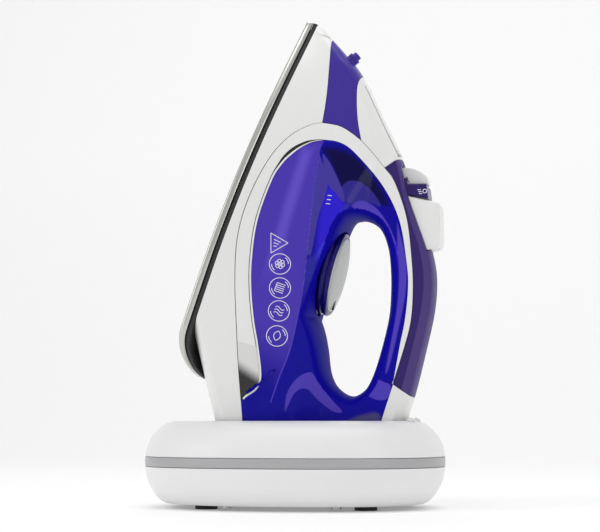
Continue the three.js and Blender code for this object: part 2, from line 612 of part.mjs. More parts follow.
// Steam valve's rod and the seal where it leaves the tank.
part(iron, 'valve_rod', alongValve(11.4, 93, VALVE_RADIUS), brass);
const seal = solid(alongValve(20, 24, 6, 16));
part(iron, 'tank_seal', seal.subtract(valveTunnel).subtract(tank), rubber);

// Heel cover: the plate that the iron stands on and the white end of the handle.
const heelPlate = skin.subtract(underHeel)
  .intersect(below(HEEL_FLOOR_Z + HEEL_PLATE));
const tailOutline = [[40.6, 131.4], [17.2, 131.8], [-20, 133], [-20, 170], [36.3, 170],
  ...reversed(gripEnd).slice(0, -1)];
const tail = cutOut(skin.subtract(underHeel), tailOutline).subtract(seams);
part(iron, 'heel_cover', heelPlate.add(tail).subtract(contactSpace), whitePlastic);

// Contact block on the heel, with the three pins that meet the base.
const contactBlock = solid(box(contactLow, contactHigh));
const pinHoles = PIN_PLACES.map((y) => solid(rod([CONTACT_X, y, 0], [CONTACT_X, y, 70], 2, 12)))
  .reduce((all, hole) => all.add(hole));
part(model, 'heel_contact_block', contactBlock.subtract(pinHoles), blackPlastic);
PIN_PLACES.forEach((y, i) => {
  part(model, `heel_contact_${i + 1}`,
    rod([CONTACT_X, y, HEEL_FLOOR_Z + 1], [CONTACT_X, y, CONTACT_TOP_Z], 1.6, 12), brass);
});

// ---------------------------------------------------------------- temperature dial

const collar = solid(rod(alongDial(-4.6), alongDial(-0.6), DIAL_WELL_RADIUS - 1.2, 32));
const collarBore = solid(rod(alongDial(-3), alongDial(3), DIAL_RADIUS - 1.5, 32));
const dialCollar = collar.subtract(collarBore).subtract(shaftTunnel).intersect(skinBody(0.6));
part(iron, 'dial_collar', dialCollar, dialBlue);

const dialRim = [[0, 0.4], [22, 0.4], [22, -2.4], [24.8, -2.4], [24.8, 0.2], [DIAL_RADIUS, 0.4],
  [DIAL_RADIUS, 2.9], [DIAL_RADIUS - 1.3, 3.5], [DIAL_RADIUS, 4.1], [DIAL_RADIUS, 6.3],
  [DIAL_RADIUS - 1.1, 7], [24.3, 7], [24.3, 5], [0, 5]];
const dialFace = [[0, 5.3], [24, 5.3], [24, 7.4], [20, 8.6], [12, 9.6], [0, 10.2]];
const turned = (profile, sides) => {
  const outline = profile.map(([r, y]) => new THREE.Vector2(r, y));
  const geometry = new THREE.LatheGeometry(outline, sides);
  geometry.rotateZ(-THREE.MathUtils.degToRad(DIAL_TILT_DEG));
  return geometry.translate(DIAL_CENTRE[0], DIAL_CENTRE[1], 0);
};
part(iron, 'temperature_dial', solid(turned(dialRim, 32)), dialBlue);
part(iron, 'dial_face', solid(turned(dialFace, 32)), dialSilver);
part(iron, 'thermostat_shaft', rod(alongDial(-54), alongDial(0), 2.6, 12), steel);

// ---------------------------------------------------------------- charging base

// Oval ring at a height, inset from the widest outline.
function oval(z, inset, sides = 44) {
  return Array.from({ length: sides }, (_, k) => {
    const angle = (2 * Math.PI * k) / sides;
    const [c, s] = [Math.cos(angle), Math.sin(angle)];
    const round = (value, power) => Math.sign(value) * Math.abs(value) ** power;
    return [(BASE_HALF_LENGTH - inset) * round(c, 0.88), (BASE_HALF_DEPTH - inset) * round(s, 0.88),
      z];
  });
}
const pod = (profile) => solid(loft(profile.map(([z, inset]) => oval(z, inset))));
const BASE_WALL = 2.6;

// Profiles of the shells: height, and how far the oval is drawn in there.
const lowerOuter = pod([[BASE_FLOOR_Z, 13], [5.5, 9], [11, 4.7], [18, 1.6], [25.7, 0.15]]);
const lowerInner = pod([[BASE_FLOOR_Z + BASE_WALL, 16], [11, 8], [30, 2.8]]);
const upperOuter = pod([[32.3, 0.15], [39, 1.5], [45, 4.6], [49.5, 8.4], [53, 13.2],
  [BASE_TOP_Z, 18]]);
const upperInner = pod([[30, 2.8], [40, 4.6], [48, 10.2], [BASE_TOP_Z - BASE_WALL, 19]]);
const band = pod([[BAND_LOW_Z, 0], [BAND_HIGH_Z, 0]]);
const bandInner = pod([[20, BASE_WALL], [40, BASE_WALL]]);

// Pocket outline: the heel's widest outline over the pocket's depth, with clearance.
function heelHalfWidth(worldX) {
  const levels = [HEEL_FLOOR_Z, HEEL_FLOOR_Z + 4, HEEL_FLOOR_Z + 8, BASE_TOP_Z];
  return Math.max(...levels.map((z) => {
    const [x, y] = sideView(worldX, z);
    return skinHalfWidth(x, Math.max(y, heelEdge(x)));
  }));
}
const POCKET_LEFT = -51;
const POCKET_RIGHT = 73.5;
function pocketOutline(grow) {
  const places = [-47, -45, -41, -32, -15, 5, 20, 35, 48, 60, POCKET_RIGHT];
  const side = places.map((x) => {
    const outwards = x < -30 ? -2 : 0;
    return [x + (x > 60 ? grow : outwards), heelHalfWidth(x) + grow];
  });
  const [low, high] = [POCKET_LEFT - grow, 13 + grow];
  return [[low, high], ...side, ...reversed(side).map(([x, y]) => [x, -y]), [low, -high]];
}
const pocket = (grow, low, high) => {
  const shape = new THREE.Shape(pocketOutline(grow).map(([x, y]) => new THREE.Vector2(x, y)));
  const geometry = new THREE.ExtrudeGeometry(shape, { depth: high - low, bevelEnabled: false });
  return solid(geometry.translate(0, 0, low));
};
const POCKET_FLOOR_Z = HEEL_FLOOR_Z - 0.3;
const pocketCup = pocket(POCKET_CLEARANCE + BASE_WALL, POCKET_FLOOR_Z - BASE_WALL,
  BASE_TOP_Z - 1).subtract(pocket(POCKET_CLEARANCE, POCKET_FLOOR_Z, 60));

const DOCK_HALF = [16, 12];
const dockLow = [CONTACT_X - DOCK_HALF[0], -DOCK_HALF[1], 20];
const dockHigh = [CONTACT_X + DOCK_HALF[0], DOCK_HALF[1], POCKET_FLOOR_Z - 0.2];
const dockSpace = solid(box(...grown(dockLow, dockHigh, GAP)));
const upperShell = upperOuter.subtract(upperInner).subtract(pocket(POCKET_CLEARANCE, 40, 60))
  .add(pocketCup).subtract(dockSpace);
part(base, 'base_upper_shell', upperShell, baseWhite);

const FOOT_PLACES = [[50, 30], [-50, 30], [50, -30], [-50, -30]];
const SCREW_PLACES = [[34, 44], [-34, 44], [34, -44], [-34, -44]];
const screwTunnels = SCREW_PLACES.map(([x, y]) => solid(rod([x, y, 0], [x, y, 12], 1.9, 12)));
const GLAND_PLACE = [-30, 12]; // along the back of the base, and above the table
const GLAND_RADIUS = 6;
const alongGland = (from, to, radius, sides) => solid(rod(
  [GLAND_PLACE[0], from, GLAND_PLACE[1]], [GLAND_PLACE[0], to, GLAND_PLACE[1]], radius, sides));
const glandSpace = alongGland(40, 90, GLAND_RADIUS + GAP, 20);
const lowerShell = screwTunnels.reduce((shell, hole) => shell.subtract(hole),
  lowerOuter.subtract(lowerInner)).subtract(glandSpace);
part(base, 'base_lower_shell', lowerShell, baseWhite);
part(base, 'base_band', band.subtract(bandInner), greyBand);

FOOT_PLACES.forEach(([x, y], i) => {
  part(base, `base_foot_${i + 1}`, rod([x, y, 0], [x, y, BASE_FLOOR_Z - 0.3], 7, 16), rubber);
});
SCREW_PLACES.forEach(([x, y], i) => {
  const head = solid(rod([x, y, 1.2], [x, y, BASE_FLOOR_Z - 0.3], 3.2, 12));
  const shank = solid(rod([x, y, 2], [x, y, 16], 1.5, 10));
  part(base, `base_screw_${i + 1}`, head.add(shank), steel);
});

// Dock connector with three sprung contact pins, terminal block and the mains inlet gland.
const dockBody = solid(box(dockLow, dockHigh));
const dockHoles = PIN_PLACES.map((y) => solid(rod([CONTACT_X, y, 24], [CONTACT_X, y, 60], 2, 12)))
  .reduce((all, hole) => all.add(hole));
part(base, 'dock_connector', dockBody.subtract(dockHoles), blackPlastic);
PIN_PLACES.forEach((y, i) => {
  part(base, `dock_contact_${i + 1}`,
    rod([CONTACT_X, y, 26], [CONTACT_X, y, HEEL_FLOOR_Z + 0.6], 1.6, 12), brass);
});
part(base, 'terminal_block', box([-36, 20, 6.2], [-8, 34, 20]), darkPlastic);

const gland = alongGland(50, 64, GLAND_RADIUS, 20);
const glandBore = alongGland(30, 90, 3.6, 16);
part(base, 'cord_gland', gland.subtract(glandBore), darkPlastic);

export default model;
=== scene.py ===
import json
import math

import bmesh
import bpy
import numpy as np
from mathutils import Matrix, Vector


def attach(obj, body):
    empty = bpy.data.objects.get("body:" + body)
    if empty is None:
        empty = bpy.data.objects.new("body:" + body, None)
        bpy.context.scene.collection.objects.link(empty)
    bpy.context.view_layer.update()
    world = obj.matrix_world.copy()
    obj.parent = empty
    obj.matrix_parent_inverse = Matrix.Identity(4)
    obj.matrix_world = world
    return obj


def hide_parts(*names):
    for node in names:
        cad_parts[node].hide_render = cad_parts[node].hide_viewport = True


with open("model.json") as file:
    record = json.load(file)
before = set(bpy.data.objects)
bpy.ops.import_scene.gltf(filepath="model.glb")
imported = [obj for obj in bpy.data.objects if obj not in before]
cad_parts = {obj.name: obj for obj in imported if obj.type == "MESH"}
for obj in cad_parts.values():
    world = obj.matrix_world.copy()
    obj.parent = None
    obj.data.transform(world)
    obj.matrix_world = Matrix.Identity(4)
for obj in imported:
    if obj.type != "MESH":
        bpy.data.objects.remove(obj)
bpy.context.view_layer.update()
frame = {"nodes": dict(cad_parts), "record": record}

# ------------------------------------------------------------------ camera, table and lamps
# A long lens set low, level with the top of the base and tipped up a little. The table is a pale
# sheet that sweeps up behind, lit by soft boxes and an even white surround.

AIM = Vector((0.0033, 0.0, 0.153))
CAMERA_TURN, CAMERA_TIP, CAMERA_AWAY = math.radians(11.0), math.radians(5.26), 1.07
camera = bpy.data.objects.new("camera", bpy.data.cameras.new("camera"))
bpy.context.collection.objects.link(camera)
back = Vector((math.sin(CAMERA_TURN) * math.cos(CAMERA_TIP),
               -math.cos(CAMERA_TURN) * math.cos(CAMERA_TIP), -math.sin(CAMERA_TIP)))
camera.location = AIM + back * CAMERA_AWAY
camera.rotation_euler = (-back).to_track_quat("-Z", "Y").to_euler()
camera.data.lens = 100.3
bpy.context.scene.camera = camera


def new_mesh(name, points, faces, smooth=True):
    mesh = bpy.data.meshes.new(name)
    mesh.from_pydata([tuple(float(c) for c in p) for p in points], [], faces)
    mesh.update()
    for face in mesh.polygons:
        face.use_smooth = smooth
    piece = bpy.data.objects.new(name, mesh)
    bpy.context.collection.objects.link(piece)
    return piece


def table_sheet():
    depth = [(-2.0, 0.0), (1.1, 0.0)]
    depth += [(1.1 + 0.5 * math.sin(a), 0.5 - 0.5 * math.cos(a))
              for a in np.linspace(0.1, math.pi / 2, 14)]
    depth += [(1.6, 3.4)]
    points = [(x, y, z) for y, z in depth for x in (-3.0, 3.0)]
    faces = [(2 * k, 2 * k + 1, 2 * k + 3, 2 * k + 2) for k in range(len(depth) - 1)]
    sheet = new_mesh("table_sheet", points, faces)
    paper = bpy.data.materials.new("sheet_paper")
    paper.use_nodes = True
    shader = paper.node_tree.nodes["Principled BSDF"]
    shader.inputs["Base Color"].default_value = (0.9, 0.9, 0.9, 1)
    shader.inputs["Roughness"].default_value = 0.8
    shader.inputs["Emission Color"].default_value = (1, 1, 1, 1)
    shader.inputs["Emission Strength"].default_value = 0.12
    sheet.data.materials.append(paper)


table_sheet()
studio = bpy.data.worlds.new("studio")
bpy.context.scene.world = studio
studio.use_nodes = True
studio.node_tree.nodes["Background"].inputs["Color"].default_value = (1, 1, 1, 1)
studio.node_tree.nodes["Background"].inputs["Strength"].default_value = 0.62


def soft_box(name, place, power, width, height):
    light = bpy.data.objects.new(name, bpy.data.lights.new(name, "AREA"))
    light.data.shape = "RECTANGLE"
    light.data.size = width
    light.data.size_y = height
    light.data.energy = power
    light.location = place
    light.rotation_euler = (AIM - Vector(place)).to_track_quat("-Z", "Y").to_euler()
    bpy.context.collection.objects.link(light)


soft_box("box_left", (-1.5, -1.0, 0.6), 7.0, 0.5, 1.6)
soft_box("box_right", (1.4, -1.2, 0.5), 4.0, 0.35, 1.4)
soft_box("box_top", (0.1, -0.1, 1.7), 9.0, 1.4, 1.0)
bpy.context.scene.view_settings.view_transform = "Standard"

# ------------------------------------------------------------------ base: lower shell
# Satin white moulding, the dish that everything in the base stands in. Its underside has two
# banks of cooling louvres, and it is held to the upper shell by four screws beside the feet.

BASE_HALF_LENGTH = 95.0
BASE_HALF_DEPTH = 72.0
BASE_SQUARENESS = 0.88
BASE_CENTRE = np.array([11.0, 0.0])
BASE_RAYS = 300
BASE_WALL = 2.2


def ray_out(line, centre, angle):
    """Where a ray from the centre last crosses a closed line."""
    way = np.array([math.cos(angle), math.sin(angle)])
    start = line[:-1] - centre
    edge = line[1:] - line[:-1]
    cross = way[0] * edge[:, 1] - way[1] * edge[:, 0]
    cross = np.where(np.abs(cross) < 1e-9, 1e-9, cross)
    far = (start[:, 0] * edge[:, 1] - start[:, 1] * edge[:, 0]) / cross
    part = (start[:, 0] * way[1] - start[:, 1] * way[0]) / cross
    hits = far[(far > 0) & (part >= -1e-6) & (part <= 1 + 1e-6)]
    return centre + way * hits.max()


def base_rays(line):
    """A closed line as points on even rays from the middle of the pocket."""
    angles = np.arange(BASE_RAYS) * 2 * math.pi / BASE_RAYS
    return np.array([ray_out(line, BASE_CENTRE, a) for a in angles])


def base_oval(inset):
    angles = np.linspace(0, 2 * math.pi, 721)
    x = np.sign(np.cos(angles)) * np.abs(np.cos(angles)) ** BASE_SQUARENESS
    y = np.sign(np.sin(angles)) * np.abs(np.sin(angles)) ** BASE_SQUARENESS
    line = np.stack([(BASE_HALF_LENGTH - inset) * x, (BASE_HALF_DEPTH - inset) * y], 1)
    line[-1] = line[0]
    return base_rays(line)


def smooth_line(points, steps):
    """Curve through the points, evenly stepped between each pair."""
    ends = np.array([points[0], *points, points[-1]], float)
    line = []
    for k in range(steps + 1):
        span = k / steps * (len(points) - 1)
        i = min(int(span), len(points) - 2)
        t = span - i
        p0, p1, p2, p3 = ends[i:i + 4]
        a, b = (p2 - p0) / 2, (p3 - p1) / 2
        line.append((2 * p1 - 2 * p2 + a + b) * t ** 3
                    + (3 * p2 - 3 * p1 - 2 * a - b) * t ** 2 + a * t + p1)
    return np.array(line)


def ring_loft(name, rings, closed_middle=False, capped=False):
    """Skin through rings of [x, y, z] in millimetres that all have the same number of points."""
    count = len(rings[0])
    points = [np.array(p) / 1000 for ring in rings for p in ring]
    faces = [(r * count + k, r * count + (k + 1) % count, (r + 1) * count + (k + 1) % count,
              (r + 1) * count + k) for r in range(len(rings) - 1) for k in range(count)]
    ends = ([0] if capped else []) + ([len(rings) - 1] if closed_middle or capped else [])
    for ring in ends:
        middle = len(points)
        points.append(np.mean([points[ring * count + k] for k in range(count)], axis=0))
        for k in range(count):
            a, b = ring * count + k, ring * count + (k + 1) % count
            faces.append((a, b, middle) if ring else (b, a, middle))
    return new_mesh(name, points, faces)


def faces_outward(piece, closed=True):
    """Welds a piece's doubles and turns its faces out, by its volume or from its middle plane."""
    work = bmesh.new()
    work.from_mesh(piece.data)
    bmesh.ops.remove_doubles(work, verts=work.verts, dist=5e-6)
    bmesh.ops.dissolve_degenerate(work, dist=1e-7, edges=work.edges)
    if closed:
        bmesh.ops.recalc_face_normals(work, faces=work.faces)
        outward = work.calc_volume(signed=True)
    else:
        outward = sum(f.normal.y * f.calc_center_median().y * f.calc_area() for f in work.faces)
    if outward < 0:
        bmesh.ops.reverse_faces(work, faces=work.faces)
    work.to_mesh(piece.data)
    work.free()


def walled(piece, thickness, ease=0.3, sharpest=50):
    """Gives a skin its wall, inwards, and eases the edges."""
    wall = piece.modifiers.new("wall", "SOLIDIFY")
    wall.thickness = thickness / 1000
    wall.offset = -1
    if ease:
        eased(piece, ease, 2, sharpest)
    return piece


def eased(piece, width, segments=3, sharpest=35):
    edges = piece.modifiers.new("eased_edges", "BEVEL")
    edges.width = width / 1000
    edges.segments = segments
    edges.limit_method = "ANGLE"
    edges.angle_limit = math.radians(sharpest)
    edges.harden_normals = True
    return piece


def settled(piece):
    """Turns a piece's modifiers into plain mesh."""
    graph = bpy.context.evaluated_depsgraph_get()
    graph.update()
    mesh = bpy.data.meshes.new_from_object(piece.evaluated_get(graph))
    piece.modifiers.clear()
    piece.data = mesh
    return piece


def cut_by(piece, cutter):
    """Cuts one closed body out of another."""
    cut = piece.modifiers.new("cut", "BOOLEAN")
    cut.object = cutter
    cut.solver = "EXACT"
    settled(piece)
    bpy.data.objects.remove(cutter)
    return piece


def made(piece, material, slot, body, *nodes):
    """The last step of every piece: its finish, the body that carries it and what it replaces."""
    piece.data.materials.clear()
    piece.data.materials.append(material)
    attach(piece, body)
    if nodes:
        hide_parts(*nodes)
    return piece


def dressed(material, *names):
    """A finish on pieces that are shown as they were drawn."""
    for name in names:
        mesh = frame["nodes"][name].data
        mesh.materials.clear()
        mesh.materials.append(material)


def shader_group(name, inputs, outputs):
    group = bpy.data.node_groups.new(name, "ShaderNodeTree")
    for label, kind, value in inputs:
        socket = group.interface.new_socket(label, in_out="INPUT", socket_type=kind)
        socket.default_value = value
    for label, kind in outputs:
        group.interface.new_socket(label, in_out="OUTPUT", socket_type=kind)
    return group, group.nodes.new("NodeGroupInput"), group.nodes.new("NodeGroupOutput")


def surface_grain():
    """Fine grain and slow change of gloss and shade, as every moulded or cast surface has."""
    group, given, result = shader_group(
        "surface_grain",
        [("Colour", "NodeSocketColor", (1, 1, 1, 1)), ("Shade", "NodeSocketFloat", 0.04),
         ("Grain Size", "NodeSocketFloat", 900.0), ("Gloss Low", "NodeSocketFloat", 0.15),
         ("Gloss High", "NodeSocketFloat", 0.25)],
        [("Colour", "NodeSocketColor"), ("Roughness", "NodeSocketFloat"),
         ("Height", "NodeSocketFloat")])
    nodes, links = group.nodes, group.links
    place = nodes.new("ShaderNodeTexCoord")
    fine = nodes.new("ShaderNodeTexNoise")
    fine.inputs["Detail"].default_value = 3
    links.new(place.outputs["Object"], fine.inputs["Vector"])
    links.new(given.outputs["Grain Size"], fine.inputs["Scale"])
    slow = nodes.new("ShaderNodeTexNoise")
    slow.inputs["Scale"].default_value = 24
    slow.inputs["Detail"].default_value = 4
    links.new(place.outputs["Object"], slow.inputs["Vector"])
    gloss = nodes.new("ShaderNodeMapRange")
    gloss.inputs["From Min"].default_value = 0.3
    gloss.inputs["From Max"].default_value = 0.7
    links.new(slow.outputs["Fac"], gloss.inputs["Value"])
    links.new(given.outputs["Gloss Low"], gloss.inputs["To Min"])
    links.new(given.outputs["Gloss High"], gloss.inputs["To Max"])
    darker = nodes.new("ShaderNodeMath")
    darker.operation = "MULTIPLY"
    links.new(slow.outputs["Fac"], darker.inputs[0])
    links.new(given.outputs["Shade"], darker.inputs[1])
    tint = nodes.new("ShaderNodeMix")
    tint.data_type = "RGBA"
    shade_factor, light_end, dark_end = tint.inputs[0], tint.inputs[6], tint.inputs[7]
    dark_end.default_value = (0, 0, 0, 1)
    links.new(darker.outputs[0], shade_factor)
    links.new(given.outputs["Colour"], light_end)
    links.new(tint.outputs[2], result.inputs["Colour"])
    links.new(gloss.outputs["Result"], result.inputs["Roughness"])
    links.new(fine.outputs["Fac"], result.inputs["Height"])
    return group


SURFACE_GRAIN = surface_grain()


def surface(name, colour, gloss, size=900.0, depth=0.02, shade=0.04, **sockets):
    """A finish: colour, low and high roughness, and its grain; other sockets by their names."""
    material = bpy.data.materials.new(name)
    material.use_nodes = True
    nodes, links = material.node_tree.nodes, material.node_tree.links
    shader = nodes["Principled BSDF"]
    for socket, value in sockets.items():
        shader.inputs[socket.replace("_", " ")].default_value = value
    grain = nodes.new("ShaderNodeGroup")
    grain.node_tree = SURFACE_GRAIN
    grain.inputs["Colour"].default_value = (*colour, 1)
    grain.inputs["Shade"].default_value = shade
    grain.inputs["Grain Size"].default_value = size
    grain.inputs["Gloss Low"].default_value = gloss[0]
    grain.inputs["Gloss High"].default_value = gloss[1]
    bump = nodes.new("ShaderNodeBump")
    bump.inputs["Strength"].default_value = depth
    bump.inputs["Distance"].default_value = 0.0003
    links.new(grain.outputs["Height"], bump.inputs["Height"])
    links.new(grain.outputs["Colour"], shader.inputs["Base Color"])
    links.new(grain.outputs["Roughness"], shader.inputs["Roughness"])
    links.new(bump.outputs["Normal"], shader.inputs["Normal"])
    return material


base_white = surface("base_satin_white", (0.80, 0.80, 0.80), (0.28, 0.36), depth=0.03,
                     shade=0.02, Specular_IOR_Level=0.4)


def faces_facing(skin, up):
    """Turns an open skin round where it faces down, or up when the second number is -1."""
    work = bmesh.new()
    work.from_mesh(skin.data)
    if up * sum(f.normal.z * f.calc_area() for f in work.faces) < 0:
        bmesh.ops.reverse_faces(work, faces=work.faces)
    work.to_mesh(skin.data)
    work.free()


def lower_shell():
    profile = smooth_line([(25.7, 0.15), (18, 1.6), (11, 4.7), (5.5, 9), (3, 13)], 26)
    rings = [[(*p, z) for p in base_oval(inset)] for z, inset in profile]
    underside = np.array(rings[-1])
    for share in (0.93, 0.8, 0.6, 0.4, 0.2, 0.08):
        ring = underside.copy()
        ring[:, :2] = BASE_CENTRE + (ring[:, :2] - BASE_CENTRE) * share
        rings.append([tuple(p) for p in ring])
    shell = ring_loft("base_dish", rings, closed_middle=True)
    faces_facing(shell, -1)
    return walled(shell, BASE_WALL)


made(lower_shell(), base_white, "base_white", "base", "base_lower_shell")

LOUVRE_COUNT = 9
LOUVRE_STEP = 4.2


def louvre_tree(material):
    """Geometry nodes: rounded bars in a row, from a bar mesh, a count and a step."""
    tree = bpy.data.node_groups.new("louvre_bank", "GeometryNodeTree")
    face = tree.interface
    face.new_socket("Geometry", in_out="INPUT", socket_type="NodeSocketGeometry")
    face.new_socket("Count", in_out="INPUT", socket_type="NodeSocketInt")
    face.new_socket("Step", in_out="INPUT", socket_type="NodeSocketVector")
    face.new_socket("Geometry", in_out="OUTPUT", socket_type="NodeSocketGeometry")
    nodes, links = tree.nodes, tree.links
    given = nodes.new("NodeGroupInput")
    result = nodes.new("NodeGroupOutput")
    row = nodes.new("GeometryNodeMeshLine")
    links.new(given.outputs["Count"], row.inputs["Count"])
    links.new(given.outputs["Step"], row.inputs["Offset"])
    copies = nodes.new("GeometryNodeInstanceOnPoints")
    links.new(row.outputs["Mesh"], copies.inputs["Points"])
    links.new(given.outputs["Geometry"], copies.inputs["Instance"])
    real = nodes.new("GeometryNodeRealizeInstances")
    links.new(copies.outputs["Instances"], real.inputs["Geometry"])
    finish = nodes.new("GeometryNodeSetMaterial")
    finish.inputs["Material"].default_value = material
    links.new(real.outputs["Geometry"], finish.inputs["Geometry"])
    links.new(finish.outputs["Geometry"], result.inputs["Geometry"])
    return tree


def repeated(piece, tree, **values):
    """Runs a geometry nodes tree on a piece with its named inputs and keeps the plain mesh."""
    run = piece.modifiers.new(tree.name, "NODES")
    run.node_group = tree
    for socket in tree.interface.items_tree:
        if socket.in_out == "INPUT" and socket.name in values:
            run[socket.identifier] = values[socket.name]
    return settled(piece)


def louvre_bar(name, x, y, length):
    """One rounded bar under the dish, flat at its top and drawn to a blunt edge below."""
    section = [(-1.0, 3.0), (-0.75, 2.4), (-0.3, 2.1), (0.3, 2.1), (0.75, 2.4), (1.0, 3.0)]
    rings = []
    for along, size in ((-length, 0.5), (-length + 0.8, 1), (length - 0.8, 1), (length, 0.5)):
        rings.append([(x + dx * size, y + along, 3.02 - (3.0 - z) * size) for dx, z in section])
    bar = ring_loft(name, rings, capped=True)
    faces_outward(bar)
    return bar


for bank, side in (("louvres_left", -1), ("louvres_right", 1)):
    first = side * 38.0 - LOUVRE_STEP * (LOUVRE_COUNT - 1) / 2
    bar = louvre_bar(bank, first, 0.0, 15.0)
    repeated(bar, louvre_tree(base_white), Count=LOUVRE_COUNT, Step=(LOUVRE_STEP / 1000, 0, 0))
    made(bar, base_white, "base_white", "base")

# ------------------------------------------------------------------ base: feet, screws and inlet
# Four rubber feet, four screws, and the moulded gland where a mains lead would come in at the
# back, with its terminal block inside.

rubber = surface("foot_rubber", (0.025, 0.025, 0.026), (0.75, 0.9), size=1800, depth=0.2)
screw_steel = surface("screw_steel", (0.5, 0.5, 0.49), (0.3, 0.42), depth=0.05, Metallic=1.0)
dark_matt = surface("dark_nylon", (0.022, 0.022, 0.024), (0.5, 0.62), size=1500, depth=0.1)
dressed(rubber, *[f"base_foot_{k}" for k in (1, 2, 3, 4)], "tank_seal")
dressed(screw_steel, *[f"base_screw_{k}" for k in (1, 2, 3, 4)])
dressed(dark_matt, "terminal_block")


def turned(name, start, axis, profile, sides=64):
    """Revolves [along, radius] pairs, in millimetres, about an axis; a zero radius closes it."""
    axis = Vector(axis).normalized()
    side = axis.orthogonal().normalized()
    other = axis.cross(side)
    rings = []
    for along, radius in profile:
        spot = Vector(start) + axis * along
        rings.append([tuple(spot + (side * math.cos(a) + other * math.sin(a)) * max(radius, 1e-3))
                      for a in np.arange(sides) * 2 * math.pi / sides])
    piece = ring_loft(name, rings)
    faces_outward(piece)
    return piece


GLAND_START, GLAND_LENGTH, GLAND_RADIUS, GLAND_BORE = (-30, 50, 12), 14.0, 5.9, 3.6
gland_profile = [(0, GLAND_BORE), (0, GLAND_RADIUS)]
for rib in range(3):
    low = 8.6 + 1.8 * rib
    gland_profile += [(low, GLAND_RADIUS), (low + 0.3, GLAND_RADIUS - 0.8),
                      (low + 0.9, GLAND_RADIUS - 0.8), (low + 1.2, GLAND_RADIUS)]
gland_profile += [(GLAND_LENGTH - 0.4, GLAND_RADIUS), (GLAND_LENGTH, GLAND_RADIUS - 0.5),
                  (GLAND_LENGTH, GLAND_BORE), (0, GLAND_BORE)]
gland = turned("inlet_gland", GLAND_START, (0, 1, 0), gland_profile, 48)
made(eased(gland, 0.15, 2), dark_matt, "dark_plastic", "base", "cord_gland")

# ------------------------------------------------------------------ base: band
# Grey frosted band let into the seam between the shells, all the way round.

band_grey = surface("band_frosted", (0.42, 0.42, 0.43), (0.3, 0.4), depth=0.03, shade=0.12)
band_profile = [(26.0, 0.5), (26.35, 0.12), (27.5, 0.0), (30.5, 0.0), (31.65, 0.12), (32.0, 0.5)]
band = ring_loft("base_stripe", [[(*p, z) for p in base_oval(inset)] for z, inset in band_profile])
faces_outward(band, closed=False)
made(walled(band, 2.0, ease=0), band_grey, "band_grey", "base", "base_band")

# ------------------------------------------------------------------ the iron's own frame
# The iron stands on its heel and leans back. Its pieces are set out from heel to nose (u), from
# soleplate to handle (v) and sideways (w), with the lean that the soleplate's face has.

sole_mount = next(m for m in frame["record"]["mounts"] if m["name"] == "soleplate_face")
DOWN = Vector(sole_mount["axis"]).normalized()
ALONG = Vector((DOWN.z, 0, -DOWN.x))
if ALONG.z < 0:
    ALONG = -ALONG
MOUNT_FROM_HEEL = 100.0
HEEL = Vector(sole_mount["pos_m"]) * 1000 - ALONG * MOUNT_FROM_HEEL
IRON_LENGTH = 244.0
SOLE_HALF = 51.5
HANDLE_HALF = 16.0
HEEL_FLOOR = 43.0


def placed(u, v, w):
    spot = HEEL + ALONG * float(u) - DOWN * float(v)
    return (spot.x, float(w), spot.z)


def side_place(x, z):
    """The (u, v) of a standing place in the middle plane."""
    gap = Vector((x, 0, z)) - Vector((HEEL.x, 0, HEEL.z))
    return gap.dot(ALONG), -gap.dot(DOWN)


def sole_half(u):
    """Half the soleplate's width: a boat shape, a little drawn in at the heel."""
    u = np.asarray(u, float)
    widest = 74.0
    reach = np.clip((IRON_LENGTH + 2 - u) / (IRON_LENGTH + 2 - widest), 0, 1)
    front = SOLE_HALF * (1 - (1 - reach) ** 2) ** 1.15
    rear = SOLE_HALF - 3.2 * np.clip((widest - u) / widest, 0, 2) ** 1.5
    return np.where(u > widest, front, rear)


TOP_EDGE = smooth_line([(-60, 146.5), (0, 145.6), (37, 144.8), (67, 142.3), (92.5, 139.3),
                        (112, 134), (127.6, 125.6), (141, 115), (155, 104), (175, 90.3),
                        (197, 69.3), (219.5, 47.6), (229, 33.8), (237, 20), (241.5, 12),
                        (244, 5)], 300)


def top_edge(u):
    return np.interp(u, TOP_EDGE[:, 0], TOP_EDGE[:, 1])


def heel_edge(u):
    return np.maximum(7.6, 15.5 + (8 - np.asarray(u, float)) * 0.625)


def quarter_round(depth):
    return np.sqrt(np.clip(1 - (1 - np.clip(depth, 0, 1)) ** 2, 0, 1))


def body_half(u, v):
    """Half width of the body: walls that lean in to the crease, then a shoulder to the handle."""
    crease = 73.4 - 0.17 * u
    shoulder = np.maximum(crease + 11, 68)
    full = np.zeros(np.shape(v))
    softening = np.clip(0.5 + (v - crease) / 10, 0, 1)
    for shift in (-5, -2.5, 0, 2.5, 5):
        at = v + shift * softening
        wall = 0.985 - 0.425 * np.clip((at - 8) / (crease - 8), 0, 1)
        step = 0.56 - 0.18 * np.clip((at - crease) / (shoulder - crease), 0, 1)
        handle = 0.38 * (1 - np.clip((at - shoulder) / 14, 0, 1))
        full = full + np.where(at < crease, wall, np.where(at < shoulder, step, handle)) / 5
    heel = quarter_round(((u - 8) * 0.53 + (v - 15.5) * 0.848) / 12)
    return (HANDLE_HALF + (sole_half(u) - HANDLE_HALF) * full) * heel


def top_depth(u, v):
    slope = top_edge(u + 0.5) - top_edge(u - 0.5)
    return (top_edge(u) - v) / np.sqrt(1 + slope ** 2)


def skin_half(u, v):
    """The whole skin's half width, rounded over at the top edge."""
    radius = np.interp(u, [100, 128, 176, 190, 225, 240], [9, 5.5, 5.5, 8, 6, 3.5])
    return body_half(u, v) * quarter_round(top_depth(u, v) / radius)


# ------------------------------------------------------------------ base: upper shell
# Satin white moulding with the pocket that takes the iron's heel. The floor of the pocket is
# open round the dock connector.

POCKET_CLEARANCE = 1.6
POCKET_FLOOR = HEEL_FLOOR - 0.3


